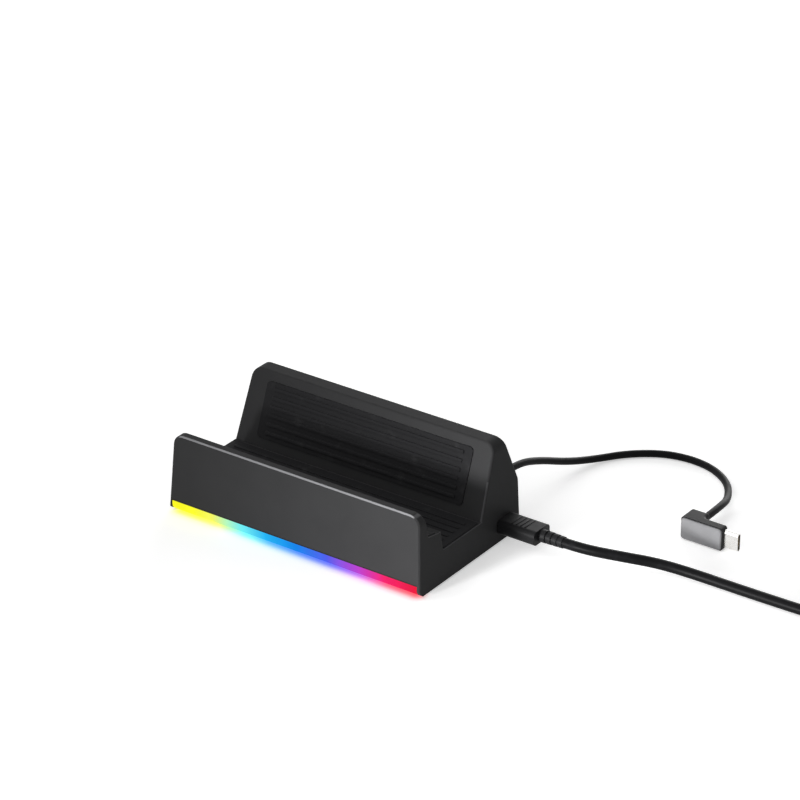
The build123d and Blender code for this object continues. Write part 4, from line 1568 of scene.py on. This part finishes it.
@dataclass
class PhotoCamera:
    """Camera at the photograph's place."""

    place: Point = (813.8, -1104.1, 765.4)
    right: Point = (0.8150, 0.5795, 0.0)
    up: Point = (-0.2662, 0.3743, 0.8883)
    lens: float = 169.9
    sensor: float = 36.0
    reach: float = 50.0

    def build(self) -> None:
        """Add the camera and make it the scene's own."""
        camera = bpy.data.cameras.new("photo_camera")
        camera.lens = self.lens
        camera.sensor_width = self.sensor
        camera.sensor_fit = "HORIZONTAL"
        camera.clip_end = self.reach
        stand = bpy.data.objects.new("photo_camera", camera)
        bpy.context.scene.collection.objects.link(stand)
        right = Vector(self.right).normalized()
        up = Vector(self.up).normalized()
        turn = Matrix((right, up, right.cross(up))).transposed().to_4x4()
        stand.matrix_world = Matrix.Translation(millimetres(*self.place)) @ turn
        bpy.context.scene.camera = stand


@dataclass(frozen=True)
class SeamlessFloor(Finish):
    """White floor that keeps the shadows, with the strip's coloured glow painted on it in front of the
    strip.
    """

    lift: float = 0.475
    far_lift: float = 0.2
    far_span: Span = (0.35, 1.2)
    # Where the strip's glow is painted on the floor, in metres, and how strongly
    strip_half: float = 62.3 * MM
    strip_foot: float = -32.8 * MM
    reach: float = 7.9 * MM
    fade_inside: float = 3.0 * MM
    fade_outside: float = 4.0 * MM
    painted_glow_share: float = 0.8

    def paint(self, graph: Graph) -> None:
        """White floor, with the light strip's glow painted on it in front of the strip.

        Args:
            graph: The material's empty graph.
        """
        across = graph.along("X")
        deep = graph.along("Y")
        near = 1.0 - graph.between(abs(deep - self.strip_foot), 0.0, self.reach)
        ends = (self.strip_half - self.fade_inside, self.strip_half + self.fade_outside)
        beside = 1.0 - graph.between(abs(across), *ends)
        # Painted pool of the strip's coloured light on the floor, in front of the strip
        glow = near * near * beside * self.painted_glow_share
        colour = graph.mix(glow, self.light, strip_colour(graph, across, self.strip_half))
        away = graph.between((across * across + deep * deep) ** 0.5, *self.far_span)
        level = graph.seen() * (self.lift + self.far_lift * away)
        paper = graph.node("ShaderNodeBsdfDiffuse", None, {"Color": colour})
        white = graph.node("ShaderNodeEmission", None, {"Color": colour, "Strength": level})
        lifted = graph.node("ShaderNodeAddShader", None, {0: paper, 1: white})
        graph.node("ShaderNodeOutputMaterial", None, {"Surface": lifted})


@dataclass(frozen=True)
class Lamp:
    """A softbox, or a snooted lamp whose pool of light has a soft rim, in metres, watts and degrees."""

    name: str
    place: Point
    aim: Point
    size: float
    power: float
    cone: float = 0.0

    def build(self) -> None:
        """Hang the lamp and turn it to what it lights."""
        if self.cone:
            lamp = bpy.data.lights.new(self.name, "SPOT")
            lamp.shadow_soft_size = self.size / 2
            lamp.spot_size = radians(self.cone)
            lamp.spot_blend = 1.0
        else:
            lamp = bpy.data.lights.new(self.name, "AREA")
            lamp.shape = "SQUARE"
            lamp.size = self.size
        lamp.energy = self.power
        stand = bpy.data.objects.new(self.name, lamp)
        bpy.context.scene.collection.objects.link(stand)
        stand.location = self.place
        way = Vector(self.aim) - Vector(self.place)
        stand.rotation_euler = way.to_track_quat("-Z", "Y").to_euler()
        stand.visible_camera = False
        LOG.info("lamp %s", self.name)


@dataclass
class Studio:
    """Floor, sky and lamps."""

    floor_size: float = 8.0
    floor: SeamlessFloor = SeamlessFloor("seamless_floor", light=(0.96, 0.96, 0.96))
    sky_front: float = 0.58
    sky_back: float = 0.2
    sky_way: Point = (-0.64, -0.72, 0.26)
    sky_span: Span = (-0.5, 0.8)
    lamps: tuple[Lamp, ...] = (
        Lamp("key_softbox", (-0.82, -0.58, 1.24), (0.0, 0.0, 0.02), 0.9, 3.5),
        Lamp("front_snoot", (-0.15, -1.1, 0.15), (0.13, -0.036, 0.02), 0.25, 132.0, 17.0),
        Lamp("back_softbox", (-0.2, 1.1, 0.22), (0.0, 0.036, 0.02), 0.9, 9.0),
    )

    def sky(self) -> None:
        """Light the sky, brighter towards the front left, and show it white."""
        world = bpy.data.worlds.new("studio_sky")
        world.use_nodes = True
        bpy.context.scene.world = world
        graph = Graph(world.node_tree)
        seen = graph.seen()
        toward = graph.dot(graph.node("ShaderNodeTexCoord", output="Generated"), self.sky_way)
        soft = self.sky_back + (self.sky_front - self.sky_back) * graph.between(toward, *self.sky_span)
        level = soft * (1.0 - seen) + seen
        light = graph.node("ShaderNodeBackground", None, {"Color": (1.0, 1.0, 1.0), "Strength": level})
        graph.node("ShaderNodeOutputWorld", None, {"Surface": light})

    def build(self, shop: Workshop) -> None:
        """Lay the floor, light the sky and hang the lamps.

        Args:
            shop: Makes the floor's material.
        """
        bpy.ops.mesh.primitive_plane_add(size=self.floor_size)
        floor = Bench.settle(bpy.context.object, "studio_floor")
        floor.data.materials.append(shop.material(self.floor))
        self.sky()
        for lamp in self.lamps:
            lamp.build()
        bpy.context.scene.view_settings.view_transform = "Standard"


def main() -> None:
    """Load the frame, build each sub-assembly in order and set the camera."""
    logging.basicConfig(level=logging.INFO, format="%(message)s")
    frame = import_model()
    shop = Workshop(frame["nodes"])
    parts = (HousingShell(), CradlePads(), LightStrip(), Underside(), Electronics(), PortBank(),
             LightButton(), CaptiveLead(), PowerLead(), Studio())
    for part in parts:
        LOG.info("building %s", type(part).__name__)
        part.build(shop)
    PhotoCamera().build()


if __name__ == "__main__":
    main()
